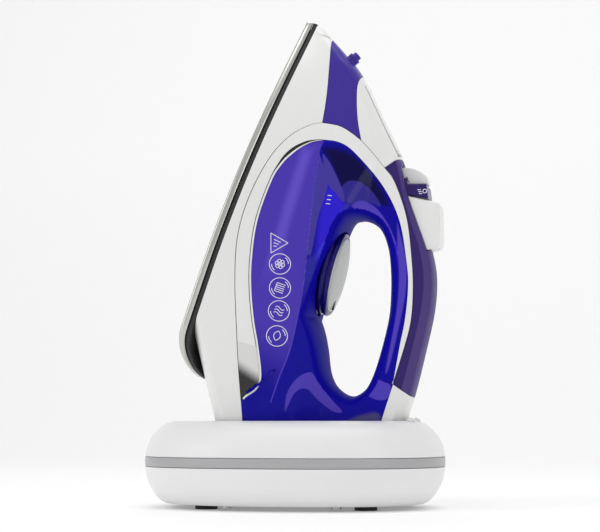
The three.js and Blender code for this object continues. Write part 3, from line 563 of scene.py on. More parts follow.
def heel_outline():
    """Widest outline of the heel over the pocket's depth, as a closed line with clearance."""
    side = []
    for x in np.linspace(-51, 73.5, 90):
        widths = []
        for z in (HEEL_FLOOR, HEEL_FLOOR + 4, HEEL_FLOOR + 8, 54.5):
            u, v = side_place(x, z)
            widths.append(float(body_half(u, max(v, float(heel_edge(u))))))
        side.append((x, max(max(widths), 13.0) + POCKET_CLEARANCE))
    ends = [(-51 - POCKET_CLEARANCE, 13 + POCKET_CLEARANCE), (73.5 + POCKET_CLEARANCE, side[-1][1])]
    half = [ends[0], *side, ends[1]]
    line = half + [(x, -y) for x, y in reversed(half)]
    return base_rays(np.array(line + line[:1]))


def upper_shell():
    profile = smooth_line([(32.3, 0.15), (39, 1.5), (45, 4.6), (49.5, 8.4), (52.8, 13.2),
                           (54.2, 18)], 30)
    rings = [[(*p, z) for p in base_oval(inset)] for z, inset in profile]
    rim = np.array(rings[-1])[:, :2]
    pocket = heel_outline()
    outward = (pocket - BASE_CENTRE)
    outward /= np.linalg.norm(outward, axis=1)[:, None]
    inner_edge = pocket + outward * 1.5
    for share, lift in ((0.35, 0.06), (0.7, 0.1), (1.0, 0.1)):
        flat = rim + (inner_edge - rim) * share
        rings.append([(*p, 54.2 + lift) for p in flat])
    for grow, z in ((0.8, 54.2), (0.25, 53.7), (0.0, 52.9), (0.0, 50.0), (0.0, 46.0), (0.0, 43.6),
                    (-0.3, 43.0), (-1.0, POCKET_FLOOR)):
        rings.append([(*p, z) for p in pocket + outward * grow])
    dock = np.array([(-4.3, -12.3), (28.3, -12.3), (28.3, 12.3), (-4.3, 12.3), (-4.3, -12.3)])
    dock = base_rays(dock)
    last = np.array(rings[-1])[:, :2]
    for share in (0.5, 1.0):
        rings.append([(*p, POCKET_FLOOR) for p in last + (dock - last) * share])
    shell = ring_loft("base_top", rings)
    faces_facing(shell, 1)
    return walled(shell, BASE_WALL, ease=0)


made(upper_shell(), base_white, "base_white", "base", "base_upper_shell")

black_gloss = surface("black_gloss", (0.006, 0.006, 0.007), (0.1, 0.16), depth=0.01)
brass = surface("contact_brass", (0.62, 0.42, 0.14), (0.25, 0.38), depth=0.05, Metallic=1.0)
dressed(black_gloss, "dock_connector", "heel_contact_block")
dressed(brass, *[f"dock_contact_{k}" for k in (1, 2, 3)],
        *[f"heel_contact_{k}" for k in (1, 2, 3)], "valve_rod")

# ------------------------------------------------------------------ soleplate and its skirt
# Polished stainless sheet, bevelled along its edge and bored with ten steam ports. The dark nylon
# skirt behind it keeps the heat off the housing.

sole_steel = surface("sole_steel", (0.60, 0.60, 0.57), (0.22, 0.32), size=1400, depth=0.03,
                     shade=0.1, Metallic=1.0)
SOLE_THICK = 4.2
SOLE_STATIONS = np.concatenate([np.linspace(4, 34, 26), np.linspace(38, 228, 70),
                                np.linspace(230, 243.6, 18)])


def sole_slab(name, low, high, grow, bevel):
    rings = []
    for u in SOLE_STATIONS:
        corner = quarter_round((u - 3.4) / 30)
        half = max(float((sole_half(u) + grow) * corner), 1.2)
        lift = 10 * np.clip((30 - u) / 26, 0, 1) ** 2
        cut = min(bevel, half / 2)
        across = list(np.linspace(-1, 1, 9) * (half - cut))
        section = [(low, w) for w in across] + [(low + cut * 0.3, half - cut * 0.3)]
        section += [(low + cut, half), (high - 0.2, half), (high, half - 0.3)]
        section += [(high, w) for w in reversed(across)]
        section += [(high, 0.3 - half), (high - 0.2, -half), (low + cut, -half)]
        section += [(low + cut * 0.3, cut * 0.3 - half)]
        rings.append([placed(u, v + lift, w) for v, w in section])
    slab = ring_loft(name, rings, capped=True)
    faces_outward(slab)
    return slab


def boring_tree():
    """Geometry nodes: a closed cutter on each point of a mesh."""
    tree = bpy.data.node_groups.new("steam_ports", "GeometryNodeTree")
    face = tree.interface
    face.new_socket("Geometry", in_out="INPUT", socket_type="NodeSocketGeometry")
    face.new_socket("Radius", in_out="INPUT", socket_type="NodeSocketFloat")
    face.new_socket("Depth", in_out="INPUT", socket_type="NodeSocketFloat")
    face.new_socket("Tilt", in_out="INPUT", socket_type="NodeSocketVector")
    face.new_socket("Geometry", in_out="OUTPUT", socket_type="NodeSocketGeometry")
    nodes, links = tree.nodes, tree.links
    given = nodes.new("NodeGroupInput")
    result = nodes.new("NodeGroupOutput")
    drill = nodes.new("GeometryNodeMeshCone")
    drill.inputs["Vertices"].default_value = 24
    links.new(given.outputs["Radius"], drill.inputs["Radius Top"])
    wider = nodes.new("ShaderNodeMath")
    wider.operation = "MULTIPLY"
    wider.inputs[1].default_value = 1.9
    links.new(given.outputs["Radius"], wider.inputs[0])
    links.new(wider.outputs[0], drill.inputs["Radius Bottom"])
    links.new(given.outputs["Depth"], drill.inputs["Depth"])
    copies = nodes.new("GeometryNodeInstanceOnPoints")
    links.new(given.outputs["Geometry"], copies.inputs["Points"])
    links.new(drill.outputs["Mesh"], copies.inputs["Instance"])
    links.new(given.outputs["Tilt"], copies.inputs["Rotation"])
    real = nodes.new("GeometryNodeRealizeInstances")
    links.new(copies.outputs["Instances"], real.inputs["Geometry"])
    finish = nodes.new("GeometryNodeSetMaterial")
    finish.inputs["Material"].default_value = sole_steel
    links.new(real.outputs["Geometry"], finish.inputs["Geometry"])
    links.new(finish.outputs["Geometry"], result.inputs["Geometry"])
    return tree


def port_drills():
    """Ten tapered drills square to the soleplate, in two rows that close in to the nose."""
    places = [placed(u, 0.0, side * (float(sole_half(u)) - 9)) for side in (-1, 1)
              for u in (200, 182, 162, 142, 120)]
    drills = new_mesh("port_drills", [np.array(p) / 1000 for p in places], [])
    tilt = (-DOWN).to_track_quat("Z", "Y").to_euler()
    return repeated(drills, boring_tree(), Radius=0.0017, Depth=0.0112, Tilt=tuple(tilt))


sole = cut_by(sole_slab("sole_sheet", 0, SOLE_THICK, 0.4, 1.3), port_drills())
made(sole, sole_steel, "soleplate_metal", "iron", "soleplate")
skirt = sole_slab("heat_skirt", SOLE_THICK + 0.32, 7.2, -1.2, 0.4)
made(skirt, dark_matt, "dark_plastic", "iron", "sole_skirt")

# ------------------------------------------------------------------ heating parts
# Cast alloy element, steam chamber cover and thermostat stand on the soleplate under a sheet
# shield; they are seen only with the covers off, so they stay as drawn.

cast_alloy = surface("cast_alloy", (0.36, 0.36, 0.355), (0.45, 0.6), size=700, depth=0.25,
                     shade=0.2, Metallic=0.85)
dressed(cast_alloy, "heating_element", "steam_chamber_cover", "thermostat")
dressed(sole_steel, "heat_shield", "flap_pin", "thermostat_shaft")

# ------------------------------------------------------------------ lower housing
# White gloss moulding over the soleplate, from the nose round to the heel, where it stands in
# the base. It clips to the ring along the long panel line.

white_gloss = surface("white_gloss", (0.79, 0.79, 0.78), (0.16, 0.24), depth=0.01, shade=0.02,
                      Specular_IOR_Level=0.45)
SEAM_HOUSING = smooth_line([(-42, 64.3), (-21.4, 57.2), (-9, 52.9), (18, 41.6), (41, 32.7),
                            (70, 22.1), (96.7, 14.8), (122.6, 13), (149.4, 15.6), (166.9, 21.9),
                            (177.8, 31), (181.3, 37)], 220)
NOSE_LINE = smooth_line([(181.3, 37), (194, 34.2), (208.6, 30), (236.8, 20.6)], 60)


def skin_sheet(name, grid, half_width, lift=0.0):
    """Both sides of a cover, from a grid of (u, v) places and the skin's half width there."""
    across, up = grid.shape[:2]
    width = np.asarray(half_width(grid[..., 0], grid[..., 1]))
    width = np.where(width < 0.05, 0, width + lift)
    points, faces = [], []
    for side in (-1, 1):
        start = len(points)
        points += [np.array(placed(*grid[i, j], side * width[i, j])) / 1000
                   for i in range(across) for j in range(up)]
        for i in range(across - 1):
            for j in range(up - 1):
                a = start + i * up + j
                quad = (a, a + 1, a + up + 1, a + up)
                faces.append(quad if side > 0 else quad[::-1])
    sheet = new_mesh(name, points, faces)
    faces_outward(sheet, closed=False)
    return sheet


def trimmed(piece, height):
    """Takes away what lies under a height, where the iron stands on its heel plate."""
    work = bmesh.new()
    work.from_mesh(piece.data)
    everything = list(work.verts) + list(work.edges) + list(work.faces)
    bmesh.ops.bisect_plane(work, geom=everything, dist=1e-7, plane_co=(0, 0, height / 1000),
                           plane_no=(0, 0, 1), clear_inner=True)
    work.to_mesh(piece.data)
    work.free()
    return piece


SEAM_GAP = 0.22


def housing_grid():
    u = np.concatenate([np.linspace(-42, 20, 60), np.linspace(21, 181.3, 100),
                        np.linspace(183, 236.8, 40), np.linspace(237.5, 243.6, 12)])
    upper = np.concatenate([SEAM_HOUSING, NOSE_LINE[1:]])
    low = heel_edge(u)
    high = np.where(u < 236.8, np.interp(u, upper[:, 0], upper[:, 1]), top_edge(u))
    high = np.maximum(np.where(u < 236.8, high - SEAM_GAP, high), low + 0.3)
    rows = np.linspace(0, 1, 34)
    rows = np.where(u[:, None] > 236.8, 1 - (1 - rows) ** 2, rows ** 1.6)
    v = low[:, None] + (high - low)[:, None] * rows
    return np.stack([np.repeat(u[:, None], 34, 1), v], 2)


PLATE_TOP = HEEL_FLOOR + 2.9
housing = trimmed(skin_sheet("lower_shell", housing_grid(), skin_half), PLATE_TOP)
made(walled(housing, 2.2), white_gloss, "white_housing", "iron", "lower_housing")

# ------------------------------------------------------------------ front cover and spray nozzle
# Violet gloss cover between the housing and the filler cover. The spray nozzle is a turned cap
# with a fine grip round it, pushed into the cover's nose.

violet_gloss = surface("violet_gloss", (0.045, 0.024, 0.29), (0.24, 0.32), depth=0.02,
                       Specular_IOR_Level=0.25)
SEAM_FRONT = smooth_line([(181.3, 37), (182.8, 47), (181.4, 55), (178.3, 63.7)], 40)
FILLER_LINE = smooth_line([(178.3, 63.7), (190, 57), (202.4, 51.6), (211.6, 48.5),
                           (219.6, 47.4)], 60)


def evenly(line, count):
    """The same line with its points at even distances."""
    line = np.asarray(line, float)
    far = np.concatenate([[0], np.cumsum(np.linalg.norm(np.diff(line, axis=0), axis=1))])
    at = np.linspace(0, far[-1], count)
    return np.stack([np.interp(at, far, line[:, k]) for k in (0, 1)], 1)


def patch(low, high, left, right, across, up, crowd=1.8):
    """Grid of places between four side-view lines, with its rows crowded to the high line."""
    high_long = np.linalg.norm(np.diff(high, axis=0), axis=1).sum()
    left_long = np.linalg.norm(np.diff(left, axis=0), axis=1).sum()
    t = 1 - (1 - np.linspace(SEAM_GAP / left_long, 1, up + 1)) ** crowd
    t[0] = SEAM_GAP / left_long
    even = np.linspace(0, 1, up + 1)
    low, high = evenly(low, across + 1), evenly(high, across + 1)
    left, right = evenly(left, up + 1), evenly(right, up + 1)
    corner = [left[0], right[0], left[-1], right[-1]]
    left = np.stack([np.interp(t, even, left[:, k]) for k in (0, 1)], 1)
    right = np.stack([np.interp(t, even, right[:, k]) for k in (0, 1)], 1)
    s = np.linspace(0, 1, across + 1)
    inner = SEAM_GAP / high_long + (1 - 2 * SEAM_GAP / high_long) * s
    low, high = (np.stack([np.interp(inner, s, line[:, k]) for k in (0, 1)], 1)
                 for line in (low, high))
    s = inner[:, None, None]
    t = t[None, :, None]
    ends = (1 - t) * low[:, None] + t * high[:, None]
    sides = (1 - s) * left[None] + s * right[None]
    corners = ((1 - s) * (1 - t) * corner[0] + s * (1 - t) * corner[1]
               + (1 - s) * t * corner[2] + s * t * corner[3])
    return ends + sides - corners


def top_between(start, end, count=100):
    u = np.linspace(start, end, count)
    return np.stack([u, top_edge(u)], 1)


front_grid = patch(SEAM_FRONT, top_between(236.8, 219.6), NOSE_LINE, FILLER_LINE, 44, 44)
front = walled(skin_sheet("nose_cover", front_grid, skin_half), 2.2)
made(front, violet_gloss, "purple_cover", "iron", "front_cover")

NOZZLE_SPOT = (226.0, 35.5)
NOZZLE_AXIS = (0.86, 0.51)
nozzle_profile = [(-7, 0), (-7, 4.0), (2.2, 4.0), (2.5, 3.7), (2.8, 4.0), (3.3, 4.0), (3.6, 3.7),
                  (3.9, 4.0), (4.7, 4.0), (5.2, 3.5), (5.3, 2.8), (7.0, 2.8), (7.6, 2.2),
                  (7.6, 0.9), (5.6, 0.8), (5.6, 0)]
nozzle_start = placed(*NOZZLE_SPOT, 0)
nozzle_end = placed(NOZZLE_SPOT[0] + NOZZLE_AXIS[0], NOZZLE_SPOT[1] + NOZZLE_AXIS[1], 0)
nozzle = turned("spray_cap", nozzle_start, Vector(nozzle_end) - Vector(nozzle_start),
                nozzle_profile, 48)
made(nozzle, violet_gloss, "purple_cover", "iron", "spray_nozzle")

# ------------------------------------------------------------------ filler cover and its flap
# White upper cover ahead of the thumb rest. The filler flap lies in its ridge, hinged on a steel
# pin at the handle end, with a lip along its edge to lift it by.

SEAM_FILLER = smooth_line([(178.3, 63.7), (173.3, 72.8), (167, 82.4)], 30)
POD_LINE = np.array([(167, 82.4), (176.2, 89.2)])
FLAP_HINGE = np.array([179, 84.6])
FLAP_TIP = np.array([215, 50.2])
FLAP_HALF = 9.5
slope_long = np.linalg.norm(FLAP_TIP - FLAP_HINGE)
SLOPE_ALONG = (FLAP_TIP - FLAP_HINGE) / slope_long
SLOPE_OUT = np.array([-SLOPE_ALONG[1], SLOPE_ALONG[0]])


def plate(name, outline, low, high):
    """Plate with a side-view outline, between two sideways places."""
    rings = [[placed(u, v, w) for u, v in outline] for w in (low, high)]
    points = [np.array(p) / 1000 for ring in rings for p in ring]
    count = len(outline)
    sides = [(k, (k + 1) % count, (k + 1) % count + count, k + count) for k in range(count)]
    ends = [tuple(range(count)), tuple(range(2 * count - 1, count - 1, -1))]
    piece = new_mesh(name, points, sides + ends, False)
    faces_outward(piece)
    return piece


def on_slope(along, out):
    return FLAP_HINGE + SLOPE_ALONG * along + SLOPE_OUT * out


def opened(sheet, outline, half):
    """Opens a window in a skin: a convex side-view outline, reaching half each way sideways."""
    corners = [np.array(placed(u, v, 0)) / 1000 for u, v in outline]
    middle = sum(corners) / len(corners)
    planes = []
    for k, corner in enumerate(corners):
        edge = corners[(k + 1) % len(corners)] - corner
        normal = np.array([-edge[2], 0, edge[0]])
        normal *= np.sign(normal @ (middle - corner)) / np.linalg.norm(normal)
        planes.append((corner, normal))
    planes += [((0, side * half / 1000, 0), (0, -side, 0)) for side in (-1, 1)]
    work = bmesh.new()
    work.from_mesh(sheet.data)
    for spot, normal in planes:
        everything = list(work.verts) + list(work.edges) + list(work.faces)
        bmesh.ops.bisect_plane(work, geom=everything, dist=1e-7, plane_co=spot, plane_no=normal)
    window = [f for f in work.faces
              if all((np.array(f.calc_center_median()) - spot) @ np.array(normal) > 0
                     for spot, normal in planes)]
    bmesh.ops.delete(work, geom=window, context="FACES")
    work.to_mesh(sheet.data)
    work.free()
    return sheet


filler_grid = patch(SEAM_FILLER, top_between(219.6, 176.2), FILLER_LINE, POD_LINE, 64, 48)
slot_outline = [on_slope(-3.4, -8), on_slope(slope_long - 2.7, -8),
                on_slope(slope_long - 2.7, 14), on_slope(-3.4, 14)]
filler = opened(skin_sheet("filler_cover", filler_grid, skin_half), slot_outline, FLAP_HALF + 0.3)
made(walled(filler, 2.2), white_gloss, "white_housing", "iron", "filler_surround")


def flap_lid():
    """Lid that carries on the ridge's round, with a raised lip along both sides and its end."""
    rows, columns = 50, 33
    start, end = -1.2, slope_long - 3.1
    points = []
    for i in range(rows):
        along = start + (end - start) * i / (rows - 1)
        for j in range(columns):
            w = FLAP_HALF * (2 * j / (columns - 1) - 1)
            spot = on_slope(along, 0)
            u = spot[0]
            half = float(body_half(u, top_edge(u) - 9))
            radius = np.interp(u, [176, 190, 225], [5.5, 8, 6])
            drop = radius * (1 - math.sqrt(max(1 - min(abs(w) / half, 0.98) ** 2, 0)))
            slope = (top_edge(u + 0.5) - top_edge(u - 0.5))
            rise = (top_edge(u) - spot[1]) / math.sqrt(1 + slope ** 2)
            to_edge = min(FLAP_HALF - abs(w), end - along + 0.2)
            lip = 0.55 * math.exp(-((to_edge - 1.4) / 0.8) ** 2)
            dip = 0.5 * math.exp(-((along - end + 5) / 3.0) ** 2 - (w / 4.5) ** 2)
            spot = on_slope(along, rise - drop + 0.25 + lip - dip)
            points.append(np.array(placed(*spot, w)) / 1000)
    faces = [(i * columns + j, i * columns + j + 1, (i + 1) * columns + j + 1,
              (i + 1) * columns + j) for i in range(rows - 1) for j in range(columns - 1)]
    lid = new_mesh("flap_lid", points, faces)
    outward = -DOWN * 0.5 + ALONG * 0.5
    if sum(f.normal.dot(outward) for f in lid.data.polygons) < 0:
        lid.data.flip_normals()
    return lid


made(walled(flap_lid(), 1.5, 0.35), white_gloss, "white_housing", "flap", "filler_flap")
dressed(white_gloss, "filler_neck", "thermal_fuse")

# ------------------------------------------------------------------ ring
# White hoop round the tank on each side, running up under the grip. A fine bead on its inner
# edge seals against the tank.

SEAM_GRIP = smooth_line([(167, 82.4), (160, 91.8), (141.3, 106), (117.3, 117.6), (100, 124.3),
                         (82, 129.2), (66, 130.7), (40.6, 131.4)], 140)
TANK_LEFT = smooth_line([(-42, 64.3), (-21.4, 57.2), (-9, 52.9), (1.9, 49.1), (11, 54.5),
                         (19.4, 54.3), (36, 46.8), (50, 39.5), (67, 32.2), (84.5, 26.6),
                         (109, 21.6), (136, 20.8), (148, 22.8), (156, 26), (162.5, 30.2),
                         (167.6, 35.2), (171, 41)], 320)
TANK_RIGHT = smooth_line([(171, 41), (172.8, 51.5), (169.4, 63), (156, 84.8), (138.5, 102),
                          (113.4, 115.7), (99, 121.3), (80.6, 125.6), (65, 127.7),
                          (40.6, 131.4)], 240)
WEDGE_TOP = 34.8


def beside(line, distance):
    """The same line moved to its left, or to its right by a negative distance."""
    along = np.gradient(np.asarray(line, float), axis=0)
    along /= np.linalg.norm(along, axis=1)[:, None]
    return line + np.stack([-along[:, 1], along[:, 0]], 1) * np.reshape(distance, (-1, 1))


def ring_grid():
    outer = np.concatenate([SEAM_HOUSING, SEAM_FRONT[1:], SEAM_FILLER[1:], SEAM_GRIP[1:]])
    inner = np.concatenate([TANK_LEFT, TANK_RIGHT[1:]])
    outer = evenly(outer[np.argmax(outer[:, 0] > WEDGE_TOP):], 261)
    outer = beside(outer, SEAM_GAP)
    inner = evenly(inner[np.argmax(inner[:, 0] > WEDGE_TOP):], 261)
    t = np.linspace(0, 1, 11)[None, :, None]
    return (1 - t) * outer[:, None] + t * inner[:, None]


ring = walled(skin_sheet("tank_ring", ring_grid(), skin_half, lift=0.15), 3.0, 0.5)
made(ring, white_gloss, "white_housing", "iron", "body_ring")


def side_ribbon(name, line, inner, outer, lift, low=None):
    """Strip that lies on both sides of the skin between two distances beside a line."""
    steps = np.linspace(0, 1, 5)
    near, far = beside(line, inner), beside(line, outer)
    grid = near[:, None] + (far - near)[:, None] * steps[None, :, None]
    strip = skin_sheet(name, grid, body_half, lift)
    return trimmed(strip, low) if low else strip


bead_line = evenly(TANK_LEFT[TANK_LEFT[:, 0] > 1.9], 300)
bead_wide = 0.35 + 0.9 * np.clip((171 - bead_line[:, 0]) / 14, 0, 1)
bead = side_ribbon("ring_bead", bead_line, 0.15, bead_wide, 0.45, PLATE_TOP)
made(walled(bead, 1.2, 0.25), white_gloss, "white_housing", "iron")

# ------------------------------------------------------------------ bezel
# Black gloss wedge across the heel, which runs up each side between the ring and the tank as a
# fine strip and widens where the two part at the top.

wedge_u = np.linspace(2.4, WEDGE_TOP + 1.2, 50)
wedge_low = np.interp(wedge_u, SEAM_HOUSING[:, 0], SEAM_HOUSING[:, 1]) + 0.15
tank_foot = TANK_LEFT[TANK_LEFT[:, 0] < 60]
wedge_high = np.interp(wedge_u, tank_foot[:, 0], tank_foot[:, 1]) - 0.1
wedge_rows = np.linspace(0, 1, 24)[None]
wedge_v = wedge_low[:, None] + (np.maximum(wedge_high, wedge_low + 0.1) - wedge_low)[:, None] \
    * wedge_rows
wedge_grid = np.stack([np.repeat(wedge_u[:, None], 24, 1), wedge_v], 2)
wedge = trimmed(skin_sheet("heel_wedge", wedge_grid, skin_half, -0.05), PLATE_TOP)


def side_view(points):
    """The u and the v of places given in metres."""
    gaps = np.array(points) * 1000 - np.array([HEEL.x, 0, HEEL.z])
    return gaps @ np.array(ALONG), -gaps @ np.array(DOWN)


def along_layer(piece, name, value):
    """Keeps a number for each point of a piece, from its (u, v) place, for a material to read."""
    layer = piece.data.attributes.new(name, "FLOAT", "POINT")
    numbers = value(*side_view([v.co[:] for v in piece.data.vertices]))
    layer.data.foreach_set("value", np.asarray(numbers, np.float32))


def laid_over(material, layer, soft, colour, middle=0.0, strength=1.0):
    """Mixes a colour over the grain's colour where a layer's number is above its middle."""
    nodes, links = material.node_tree.nodes, material.node_tree.links
    number = nodes.new("ShaderNodeAttribute")
    number.attribute_name = layer
    mask = nodes.new("ShaderNodeMapRange")
    mask.interpolation_type = "SMOOTHSTEP"
    mask.inputs["From Min"].default_value = middle - soft / 2
    mask.inputs["From Max"].default_value = middle + soft / 2
    mask.inputs["To Max"].default_value = strength
    links.new(number.outputs["Fac"], mask.inputs["Value"])
    mix = nodes.new("ShaderNodeMix")
    mix.data_type = "RGBA"
    factor, base, top = mix.inputs[0], mix.inputs[6], mix.inputs[7]
    top.default_value = (*colour, 1)
    links.new(mask.outputs["Result"], factor)
    grain = nodes["Group"].inputs["Colour"]
    if grain.is_linked:
        links.new(grain.links[0].from_socket, base)
    else:
        base.default_value = grain.default_value
    links.new(mix.outputs[2], grain)
    return mask


# The wedge's upper part is painted pale grey, fading to black lower down: a painted reflection of
# the white housing in the black gloss.
wedge_gloss_painted_reflection = surface("wedge_gloss_painted_reflection", (0.006, 0.006, 0.007), (0.1, 0.16), depth=0.01)
along_layer(wedge, "wedge_reflection_along", lambda u, v: u + 0.25 * (v - 50))
laid_over(wedge_gloss_painted_reflection, "wedge_reflection_along", 9.0, (0.7, 0.7, 0.69), middle=18.5)
made(walled(wedge, 2.0, 0.3), wedge_gloss_painted_reflection, "black_gloss", "iron", "tank_bezel")
# A black gloss strip lies along the narrow gap between the ring and the tank, widest near the top
# and tapered at its ends.
strip_line = evenly(TANK_LEFT[TANK_LEFT[:, 0] > WEDGE_TOP], 260)
strip_wide = (0.3 + 1.6 * np.exp(-((strip_line[:, 0] - 158) / 11) ** 2))
strip_wide *= 0.15 + 0.85 * np.clip((171.2 - strip_line[:, 0]) / 5, 0, 1)
strip = side_ribbon("black_gap_strip", strip_line, 0.1, -strip_wide, 0.3)
made(walled(strip, 1.0, 0.1), black_gloss, "black_gloss", "iron")

# ------------------------------------------------------------------ water tank
# One clear blue moulding: the tank in the body and the inner half of the handle loop, rolled in
# round the hand opening. Paler and darker facets are painted on it: partly the walls inside seen
# through it, partly painted light, shade and highlights on its faces.

HAND_HOLE = smooth_line([(64, 70.2), (92, 70.2), (124, 70.2), (131.5, 76.5), (132, 85.6),
                         (128, 93), (118.5, 100.3), (107, 105.6), (95, 109.7), (80, 113.6),
                         (64, 115.7), (46, 116.7), (34, 115.5), (27.4, 111.8), (24.6, 107.5),
                         (25, 101.3), (28.5, 94), (36, 87.3), (49, 80.6), (58, 75),
                         (64, 70.2)], 300)
HOLE_MIDDLE = np.array([80.0, 95.0])
TANK_FOOT = np.array([(40.6, 131.4), (17.2, 131.8), (-4, 132.4), (-44, 66), (-42, 64.3)])
HOLE_ROUND = 5.5


def tank_sheet():
    outline = np.concatenate([TANK_LEFT, TANK_RIGHT[1:], TANK_FOOT[1:]])
    outer = evenly(outline, 341)
    ways = np.unwrap([math.atan2(*(p - HOLE_MIDDLE)[::-1]) for p in outer])
    ways = np.maximum.accumulate(ways)
    spread = np.hanning(61) / np.hanning(61).sum()
    ways = np.convolve(np.pad(ways, 30, mode="reflect", reflect_type="odd"), spread, "valid")
    inner = np.array([ray_out(HAND_HOLE, HOLE_MIDDLE, way) for way in ways])
    t = (np.linspace(0, 1, 52) ** 1.5)[None, :, None]
    grid = (1 - t) * inner[:, None] + t * outer[:, None]
    depth = np.linalg.norm(grid - inner[:, None], axis=2)

    def tank_half(u, v):
        return body_half(u, v) * quarter_round(depth / HOLE_ROUND)

    return skin_sheet("tank_shell", grid, tank_half)


DIAL_CENTRE = (93.5, 66.8)
DIAL_TILT = math.radians(5)
dial_spot = Vector(placed(*DIAL_CENTRE, 0))
DIAL_AXIS = Vector(placed(DIAL_CENTRE[0] + math.sin(DIAL_TILT),
                          DIAL_CENTRE[1] + math.cos(DIAL_TILT), 0)) - dial_spot
DIAL_WELL = 28.2

tank = settled(walled(trimmed(tank_sheet(), PLATE_TOP), 1.8, ease=0))
well = turned("dial_well", dial_spot, DIAL_AXIS, [(-5, 0), (-5, DIAL_WELL), (20, DIAL_WELL),
                                                 (20, 0)], 96)
tank = cut_by(tank, well)

TANK_DEEP = (0.004, 0.002, 0.30)
# Besides the tank's own deep blue, the colours below are painted light, painted shade and painted
# highlights.
SIDE_WALL_PAINTED_LIGHT = (0.070, 0.040, 0.42)
PALE_STREAK_HIGHLIGHT = (0.145, 0.095, 0.62)
BRIGHT_BLUE_PAINTED_LIGHT = (0.028, 0.014, 0.60)
NEAR_BLACK_PAINTED_SHADE = (0.003, 0.0015, 0.055)
RIB_FACET_PAINTED_LIGHT = (0.030, 0.022, 0.25)
BAND_FACET_PAINTED_LIGHT = (0.058, 0.042, 0.32)
PALE_FACET_PAINTED_LIGHT = (0.080, 0.050, 0.47)
CREASE = smooth_line([(-10, 66), (5, 66), (21.5, 66), (40, 66.6), (65, 63.8), (86, 60.2),
                      (119, 52.3), (134.5, 48.5), (150, 45), (165, 42.2)], 120)

# Painted light and shade on the moulding, as facets laid one over the other: each has a side-view
# outline that runs smoothly through its points, a colour, and how soft its edge is.
TANK_PAINTED_FACETS = [
    ([(165.5, 42), (168.5, 50), (168, 62), (162, 74), (152, 87), (145, 92), (144, 80),
      (146, 68), (141, 66.5), (150, 58), (160.5, 48.4)], NEAR_BLACK_PAINTED_SHADE, 6.0),
    ([(146.5, 54.2), (140, 65), (127, 71), (108, 70.5), (97, 65), (108, 60), (130, 55)],
     BRIGHT_BLUE_PAINTED_LIGHT, 5.0),
    ([(139, 67), (145, 62.6), (151.5, 65.5), (153, 73), (149, 82), (143, 88), (143, 79),
      (138.5, 73)], RIB_FACET_PAINTED_LIGHT, 1.0),
    ([(137, 71.5), (142.5, 76), (141, 86), (132, 98), (118, 109), (120.5, 103), (130.5, 92),
      (134.5, 80)], PALE_FACET_PAINTED_LIGHT, 1.2),
    ([(163.5, 43.4), (158, 51), (150.5, 58.5), (143, 64.8), (137.5, 67), (142, 59.5),
      (146.5, 53.2)], BAND_FACET_PAINTED_LIGHT, 0.8),
    ([(163, 41), (148, 43), (128, 47.6), (106, 53.6), (100, 59.2), (124, 55.6),
      (146.5, 53.6)], BAND_FACET_PAINTED_LIGHT, 0.8),
    ([(137, 101), (117, 113.5), (98.5, 120), (75, 123.4), (50, 125.6), (48, 124.2),
      (81, 119.4), (103, 114), (120.5, 107)], PALE_FACET_PAINTED_LIGHT, 1.2),
    ([(122, 103.5), (97, 112), (75, 116.2), (50, 118), (50, 119.6), (78, 118), (98, 114),
      (122, 106)], BRIGHT_BLUE_PAINTED_LIGHT, 1.0),
    ([(2, 76), (14, 73.4), (25, 76), (31, 82), (26, 88), (19, 98), (14, 107), (12.4, 101),
      (16, 91), (20.5, 83), (16, 77.5)], PALE_FACET_PAINTED_LIGHT, 0.8),
    ([(30, 115.5), (36, 117), (40, 119), (40, 126), (39, 130.5), (31, 131), (28, 124)],
     PALE_FACET_PAINTED_LIGHT, 0.8),
    ([(6, 110), (12, 114), (20, 126), (18, 131), (8, 130), (4, 120)], (0.07, 0.06, 0.2), 3.0),
]


def outline_depth(points, outline):
    """Depth of (u, v) places inside a side-view outline; below 0 outside it."""
    nearest = np.full(len(points), 1e9)
    inside = np.zeros(len(points), bool)
    for start, end in zip(outline, np.roll(outline, -1, axis=0)):
        edge, gap = end - start, points - start
        t = np.clip(gap @ edge / (edge @ edge + 1e-9), 0, 1)
        nearest = np.minimum(nearest, np.linalg.norm(gap - t[:, None] * edge, axis=1))
        crosses = (start[1] > points[:, 1]) != (end[1] > points[:, 1])
        rise = edge[1] if abs(edge[1]) > 1e-9 else 1e-9
        inside ^= crosses & (points[:, 0] < start[0] + gap[:, 1] * edge[0] / rise)
    return np.where(inside, nearest, -nearest)


def crease_gap(u, v):
    return np.interp(u, CREASE[:, 0], CREASE[:, 1]) - v


tank_clear = surface("tank_clear", TANK_DEEP, (0.08, 0.13), depth=0.004, shade=0.0,
                     Specular_IOR_Level=0.1)
for k, (outline, tone, soft) in enumerate(TANK_PAINTED_FACETS):
    closed = smooth_line([*outline, outline[0]], 6 * len(outline))[:-1]
    along_layer(tank, f"facet_{k}", lambda u, v: outline_depth(np.stack([u, v], 1), closed))
    laid_over(tank_clear, f"facet_{k}", soft, tone)
# The side wall below the crease is painted a lighter violet: painted light on the face that turns
# towards the lamps.
along_layer(tank, "side_wall_light", lambda u, v: np.minimum(crease_gap(u, v), (u - 20) / 40))
laid_over(tank_clear, "side_wall_light", 1.2, SIDE_WALL_PAINTED_LIGHT, middle=0.3)
